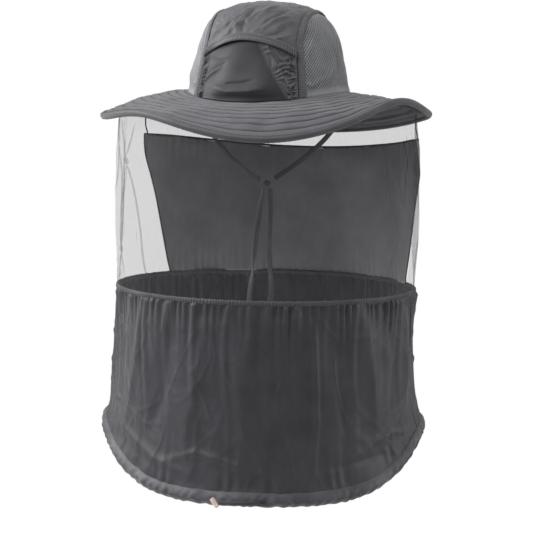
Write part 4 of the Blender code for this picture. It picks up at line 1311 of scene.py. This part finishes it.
# Long folds: degrees and millimetres below the waist along each, then width and height in mm.
SKIRT_FOLDS = [
    ([(34, 12), (35, 70), (36, 130), (34, 190)], 3.2, 3.0), ([(26, 20), (27, 90), (26, 150)], 9.0, -2.4),
    ([(42, 15), (44, 80), (47, 140), (45, 190)], 8.0, -2.0), ([(56, 12), (60, 80), (63, 150)], 9.0, 3.2),
    ([(68, 10), (73, 70), (71, 150)], 8.0, -2.6), ([(82, 12), (84, 90), (80, 150)], 8.0, 3.0),
    ([(12, 12), (8, 90), (10, 180)], 12.0, 2.6), ([(-6, 15), (-9, 80), (-13, 150), (-10, 190)], 9.0, 2.2),
    ([(-20, 12), (-23, 90), (-30, 150)], 11.0, -2.6), ([(-36, 10), (-40, 80), (-46, 160)], 9.0, 3.2),
    ([(-50, 10), (-54, 80), (-52, 150)], 8.0, -2.8), ([(-64, 10), (-68, 80), (-74, 140)], 8.0, 3.2),
    ([(-78, 10), (-82, 70), (-86, 130)], 8.0, -2.6), ([(-62, 20), (-52, 44), (-44, 52)], 1.6, 1.3),
    ([(-70, 40), (-62, 60), (-52, 96)], 1.5, 1.2), ([(-58, 70), (-48, 92), (-40, 130)], 1.6, -1.2),
    ([(-66, 130), (-56, 120), (-40, 128), (-26, 146)], 1.7, 1.3),
    ([(-76, 60), (-68, 84), (-64, 120)], 1.5, 1.2),
    ([(-60, 120), (-44, 150), (-26, 172), (-8, 186)], 5.0, 2.6),
    ([(-24, 176), (-8, 160), (4, 168), (16, 182)], 3.4, 2.2),
    ([(52, 168), (62, 150), (72, 146), (84, 152)], 3.0, 2.8),
    ([(84, 112), (74, 134), (60, 160)], 4.0, 2.4), ([(40, 176), (54, 170), (70, 168)], 2.6, -2.0),
    ([(70, 20), (62, 36), (50, 58)], 1.5, 1.2), ([(-14, 60), (-6, 100), (-2, 130)], 1.6, 1.0),
    ([(30, 60), (22, 84), (20, 120)], 1.6, 1.0),
]


def hem_line(theta):
    """Centre line of the hem: a ring that rises over both shoulders."""
    x, y = oval(HEM_RADIUS, HEM_RADIUS, theta)
    return np.stack([x, y, HEM_HEIGHT + HEM_SIDE_RISE * np.abs(np.sin(theta - HEM_TURN)) ** 5], -1)


def skirt_flat(down, theta):
    """Point of the skirt between the waist binding (down = 0) and the hem casing (down = 1)."""
    hem = hem_line(theta) + (0, 0, SKIRT_TUCK)
    return hung(waist_ring(theta, -1.2 * MM), hem, down, down ** SKIRT_FLARE_POWER)


def on_skirt(middle):
    """Function that turns degrees and millimetres below the waist into points of the skirt's surface."""
    def lay(path):
        degrees, drop = np.array(path, float).T
        theta = middle + np.radians(degrees)
        depth = WAIST_HEIGHT - hem_line(theta)[:, 2]
        return skirt_flat(np.clip(drop * MM / depth, 0, 1), theta)
    return lay


def make_skirt(name, node, middle, seed):
    """One panel, with gathers that fade down from the waist and up from the hem, folds and creases."""
    angles = middle + np.linspace(-1, 1, 500) * (math.pi / 2 - 0.002)
    down, theta = np.meshgrid(np.linspace(0, 1, 96) ** 1.25, angles, indexing="ij")
    flat = skirt_flat(down, theta)
    drop = flat[0, 0, 2] - flat[..., 2]
    left = flat[..., 2] - flat[-1:, :, 2]
    fine = gathers(theta + 0.006 * np.sin(drop / (7 * MM)), WAIST_GATHERS, 111)
    medium = gathers(theta, 92, seed + 2)
    relief = 0.9 * MM * fine * np.exp(-drop / (6 * MM)) + 2.0 * MM * medium * np.exp(-drop / (16 * MM))
    broad = gathers(theta + 0.02 * np.sin(drop / (30 * MM)), 31, seed + 6)
    relief += 1.6 * MM * broad * np.exp(-drop / (60 * MM))
    relief += 1.5 * MM * gathers(theta, 47, seed + 3) * np.exp(-left / (16 * MM))
    relief += folds_of(flat, SKIRT_FOLDS, on_skirt(middle))
    relief += 1.3 * MM * rumple(flat * (1.0, 1.0, 0.45), 60 * MM, seed)
    relief += 0.4 * MM * (crinkle(flat, 34 * MM, seed + 4) - 0.4)
    relief += 0.6 * MM * (crinkle(flat, 60 * MM, seed + 5) ** 6 - 0.1)
    held = np.clip(drop / (5 * MM) + 0.15, 0, 1) * np.clip(left / (9 * MM) + 0.05, 0, 1)
    seam = np.clip((math.pi / 2 - np.abs(theta - middle)) * 18 + 0.15, 0, 1)
    panel = cloth_surface(name, flat + (relief * seam * held)[..., None] * outward(theta))
    give_wall(panel, CLOTH, 0.0)
    panel.data.materials.append(SKIRT_CLOTH)
    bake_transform(panel)
    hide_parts(node)


make_skirt("skirt_front_cloth", "skirt_front", 0.0, 121)
make_skirt("skirt_back_cloth", "skirt_back", math.pi, 141)

# ---- hem casing ------------------------------------------------------------------------------
# The skirt's lower edge is turned up into a tube that holds round elastic. The elastic pulls the
# tube into tight slanting ruffles, and a sewn buttonhole lets the drawcord out.
HEM_HALF_WIDTH = 4.5 * MM
HEM_DEPTH = 5.2 * MM              # from its centre line down
HEM_LIPS = 9.2 * MM               # from its centre line up to its lips
HEM_CLOTH = woven("hem cloth", (94, 94, 99), (66, 66, 71), 2800, 0.42, 0.3, 0.00014)


def make_hem():
    """Ruffled tube: its ruffles slant, and it narrows upwards to its two lips on the skirt."""
    theta = ring_theta(1300)
    turn = np.linspace(0, -2 * math.pi, 21)[:, None]
    ruffle = gathers(theta + 0.05 * np.sin(turn), 92, 151) + 0.8 * gathers(theta - 0.03 * turn, 47, 153)
    broad = gathers(theta, 44, 152)
    wide = HEM_HALF_WIDTH * (1 + 0.10 * ruffle + 0.12 * broad)
    up = np.where(np.sin(-turn) > 0, HEM_LIPS, HEM_DEPTH * (1 + 0.08 * ruffle)) * np.sin(-turn)
    narrow = np.clip(1 - np.clip(up / (9.6 * MM), 0, 1) ** 2.2 * 0.75, 0, 1)
    out = wide * squared(np.cos(turn), 0.8) * narrow
    lean = -0.45 * MM * np.clip(up / (9 * MM), 0, 1)
    points = hem_line(theta) + (out + lean)[..., None] * outward(theta)
    points[..., 2] += up
    casing = cloth_surface("hem_casing_cloth", points, closed=True)
    casing.data.materials.append(HEM_CLOTH)
    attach(casing, "hem")
    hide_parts("hem_casing")
    dress_node("drawcord_buttonhole", THREAD)


make_hem()

# ---- drawcord --------------------------------------------------------------------------------
# The end of the hem's elastic cord comes out of the buttonhole and lies along the casing. A small
# folded tab of pale tape is clamped on it as a grip.

# The route: degrees from the front, then metres out from and up from the hem's centre line.
DRAWCORD_ROUTE = [
    (21.5, 0.0000, 0.0000), (19.5, 0.0001, 0.0000), (18.0, 0.0006, 0.0001), (16.6, 0.0021, 0.0002),
    (15.4, 0.0045, 0.0002), (14.2, 0.0067, 0.0001), (12.8, 0.0084, 0.0000), (11.0, 0.0091, -0.0002),
    (8.8, 0.0092, -0.0004), (6.4, 0.0091, -0.0006), (4.0, 0.0089, -0.0008), (1.9, 0.0087, -0.0010),
]
DRAWCORD_WIDTH = 4.2 * MM
TAPE_WIDTH = 5.6 * MM
TAPE_THICKNESS = 1.3 * MM


def hem_point(theta, out, up):
    """Point beside the hem's centre line: out from the axis, and up."""
    x, y = oval(out, out, theta)
    return hem_line(theta) + np.stack([x, y, up + 0 * x], -1)


def smooth_route(points, spacing):
    """Evenly spaced points on a smooth Catmull-Rom curve through the route's own points."""
    route = np.array(points, float)
    ends = np.vstack([2 * route[0] - route[1], route, 2 * route[-1] - route[-2]])
    t = np.linspace(0, 1, 12, endpoint=False)[:, None]
    pieces = []
    for a, b, c, d in zip(ends[:-3], ends[1:-2], ends[2:-1], ends[3:]):
        pieces.append(0.5 * (2 * b + (c - a) * t + (2 * a - 5 * b + 4 * c - d) * t ** 2
                             + (3 * b - a - 3 * c + d) * t ** 3))
    dense = np.vstack([*pieces, route[-1:]])
    run = np.concatenate([[0], np.cumsum(np.linalg.norm(np.diff(dense, axis=0), axis=1))])
    even = np.linspace(0, run[-1], max(2, round(run[-1] / spacing) + 1))
    return np.stack([np.interp(even, run, dense[:, axis]) for axis in range(3)], -1), float(run[-1])


def flat_cord(name, path, face, width, thickness, material, sides=14):
    """Flat woven cord along a path: face is the direction that its broad side looks at each point."""
    ahead = unit(np.gradient(path, axis=0))
    face = unit(face - (face * ahead).sum(-1, keepdims=True) * ahead)
    side = np.cross(ahead, face)
    turn = np.linspace(0, 2 * math.pi, sides + 1)
    profile = np.stack([squared(np.cos(turn), 0.6) * width / 2, np.sin(turn) * thickness / 2], -1)
    rows = carry(profile, path, side, face)
    ends = [rows[:, at].mean(0, keepdims=True).repeat(len(rows), 0)[:, None] for at in (0, -1)]
    rows = np.concatenate([ends[0], rows, ends[1]], 1)
    cord = cloth_surface(name, rows)
    weld = cord.modifiers.new("weld", "WELD")
    weld.merge_threshold = 0.00001
    cord.data.materials.append(material)
    return cord


def make_drawcord():
    """Tail of the drawcord and its tab."""
    degrees, out, up = np.array(DRAWCORD_ROUTE).T
    path, length = smooth_route(hem_point(np.radians(degrees), out, up), 0.8 * MM)
    tail = flat_cord("drawcord_tail_cord", path, unit(path * (1, 1, 0)), DRAWCORD_WIDTH, 2.2 * MM,
                     woven("drawcord braid", (76, 76, 80), (54, 54, 58), 1700, 0.6, 0.3, 0.0003))
    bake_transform(tail)
    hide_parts("drawcord_tail")
    tab = make_end_tab()


def make_end_tab():
    """Grip: a strip of pale tape folded over the cord's end, with rounded corners."""
    middle = np.mean(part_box("drawcord_end_tab"), axis=0)
    tilt = math.radians(38.0)
    long_way = np.array([math.sin(tilt), 0, -math.cos(tilt)])
    short_way = np.array([math.cos(tilt), 0, math.sin(tilt)])
    face = np.array([0.0, -1.0, 0.0])
    u, v = np.meshgrid(np.linspace(0, math.pi, 40), np.linspace(0, 2 * math.pi, 49)[:-1], indexing="ij")
    along = squared(np.cos(u), 0.35) * 5.5 * MM
    around = squared(np.sin(u), 0.35)
    fold = 1 - 0.18 * np.exp(-((along / MM - 2.2) / 0.7) ** 2)
    side = around * squared(np.cos(v), 0.6) * 2.5 * MM
    out = around * squared(np.sin(v), 0.6) * 1.5 * MM * fold
    points = middle + along[..., None] * long_way + side[..., None] * short_way + out[..., None] * face
    tab = cloth_surface("drawcord_grip_tab", points, closed=True)
    tab.data.materials.append(
        woven("pale tape", (226, 204, 196), (208, 184, 176), 1500, 0.55, 0.3, 0.0003))
    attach(tab, "drawcord_end")
    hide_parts("drawcord_end_tab")
    return tab


make_drawcord()

# ---- chin straps -----------------------------------------------------------------------------
# Two limp woven tapes that are sewn in at the crown's foot above the ears. They are knotted under
# the chin, and their ends hang down inside the veil, turning over once or twice.
STRAP_LEFT_ROUTE = [
    (0.0830, 0.0100, -0.0090), (0.0812, 0.0085, -0.0150), (0.0782, 0.0058, -0.0220),
    (0.0738, 0.0018, -0.0300), (0.0680, -0.0034, -0.0390), (0.0608, -0.0098, -0.0485),
    (0.0524, -0.0170, -0.0580), (0.0430, -0.0245, -0.0672), (0.0334, -0.0312, -0.0752),
    (0.0246, -0.0366, -0.0820), (0.0186, -0.0396, -0.0866),
]
STRAP_RIGHT_ROUTE = [
    (-0.0830, 0.0100, -0.0090), (-0.0808, 0.0080, -0.0155), (-0.0768, 0.0044, -0.0235),
    (-0.0706, -0.0008, -0.0325), (-0.0622, -0.0072, -0.0425), (-0.0518, -0.0142, -0.0525),
    (-0.0400, -0.0214, -0.0622), (-0.0276, -0.0282, -0.0712), (-0.0156, -0.0340, -0.0790),
    (-0.0052, -0.0380, -0.0848), (0.0022, -0.0400, -0.0880),
]
TAIL_LEFT_ROUTE = [
    (0.0144, -0.0410, -0.0972), (0.0150, -0.0410, -0.1080), (0.0150, -0.0408, -0.1220),
    (0.0144, -0.0404, -0.1370), (0.0138, -0.0400, -0.1520), (0.0138, -0.0396, -0.1660),
    (0.0148, -0.0390, -0.1800), (0.0164, -0.0384, -0.1930), (0.0172, -0.0378, -0.2050),
    (0.0160, -0.0374, -0.2170), (0.0140, -0.0372, -0.2290), (0.0124, -0.0370, -0.2420),
    (0.0116, -0.0370, -0.2560), (0.0114, -0.0372, -0.2700),
]
TAIL_RIGHT_ROUTE = [
    (0.0064, -0.0410, -0.0972), (0.0048, -0.0412, -0.1080), (0.0030, -0.0414, -0.1220),
    (0.0012, -0.0414, -0.1370), (-0.0004, -0.0412, -0.1520), (-0.0016, -0.0408, -0.1660),
    (-0.0030, -0.0402, -0.1800), (-0.0048, -0.0396, -0.1930), (-0.0064, -0.0390, -0.2050),
    (-0.0074, -0.0386, -0.2170), (-0.0078, -0.0384, -0.2290), (-0.0076, -0.0382, -0.2420),
    (-0.0070, -0.0382, -0.2560), (-0.0064, -0.0384, -0.2700),
]
STRAP_TAPE = woven("strap tape", (104, 104, 109), (86, 86, 91), 1500, 0.65, 0.3, 0.0003)

# How far each tape is turned at shares of its length, in degrees from lying square to the front.
STRAP_TWIST = {
    "strap_left": [(0, 70), (0.4, 40), (1, 10)],
    "strap_right": [(0, -70), (0.4, -40), (1, -10)],
    "tail_left": [(0, 50), (0.12, 15), (0.55, -10), (0.78, 60), (1, 150)],
    "tail_right": [(0, -50), (0.1, -10), (0.38, 45), (0.48, 95), (0.6, 170), (1, 195)],
}


def make_strap(part, side, route):
    """One tape along its route, turned by its twist."""
    path, length = smooth_route(route, 1.2 * MM)
    shares, turns = np.array(STRAP_TWIST[f"{part}_{side}"], float).T
    turn = np.radians(np.interp(np.linspace(0, 1, len(path)), shares, turns))
    strap = flat_cord(f"chin_{part}_{side}_tape", path, outward(turn), TAPE_WIDTH, TAPE_THICKNESS,
                      STRAP_TAPE)
    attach(strap, "hat")
    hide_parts(f"chin_{part}_{side}")
    return strap, path, length


def make_knot():
    """Knot: a flat tape that crosses itself three times, drawn tight."""
    t = np.linspace(0, 2 * math.pi, 161)
    middle = np.mean(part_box("chin_knot"), axis=0)
    loop = np.stack([np.sin(t) + 2 * np.sin(2 * t), -np.sin(3 * t) * 0.9,
                     np.cos(t) - 2 * np.cos(2 * t)], -1) * 1.15 * MM
    face = unit(loop + (0, -0.001, 0))
    knot = flat_cord("chin_knot_tape", middle + loop, face, 3.8 * MM, TAPE_THICKNESS, STRAP_TAPE)
    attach(knot, "hat")
    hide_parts("chin_knot")
    return knot


def make_chin_straps():
    """Knot first, then the two straps that end in it and the two tails that leave it."""
    knot = make_knot()
    routes = {("strap", "left"): STRAP_LEFT_ROUTE, ("strap", "right"): STRAP_RIGHT_ROUTE,
              ("tail", "left"): TAIL_LEFT_ROUTE, ("tail", "right"): TAIL_RIGHT_ROUTE}
    for (part, side), route in routes.items():
        tape, path, length = make_strap(part, side, route)
    for side in ("left", "right"):
        dress_node(f"chin_anchor_{side}",
                   braided(f"anchor tape {side}", (96, 96, 101), (70, 70, 74), 320))


make_chin_straps()
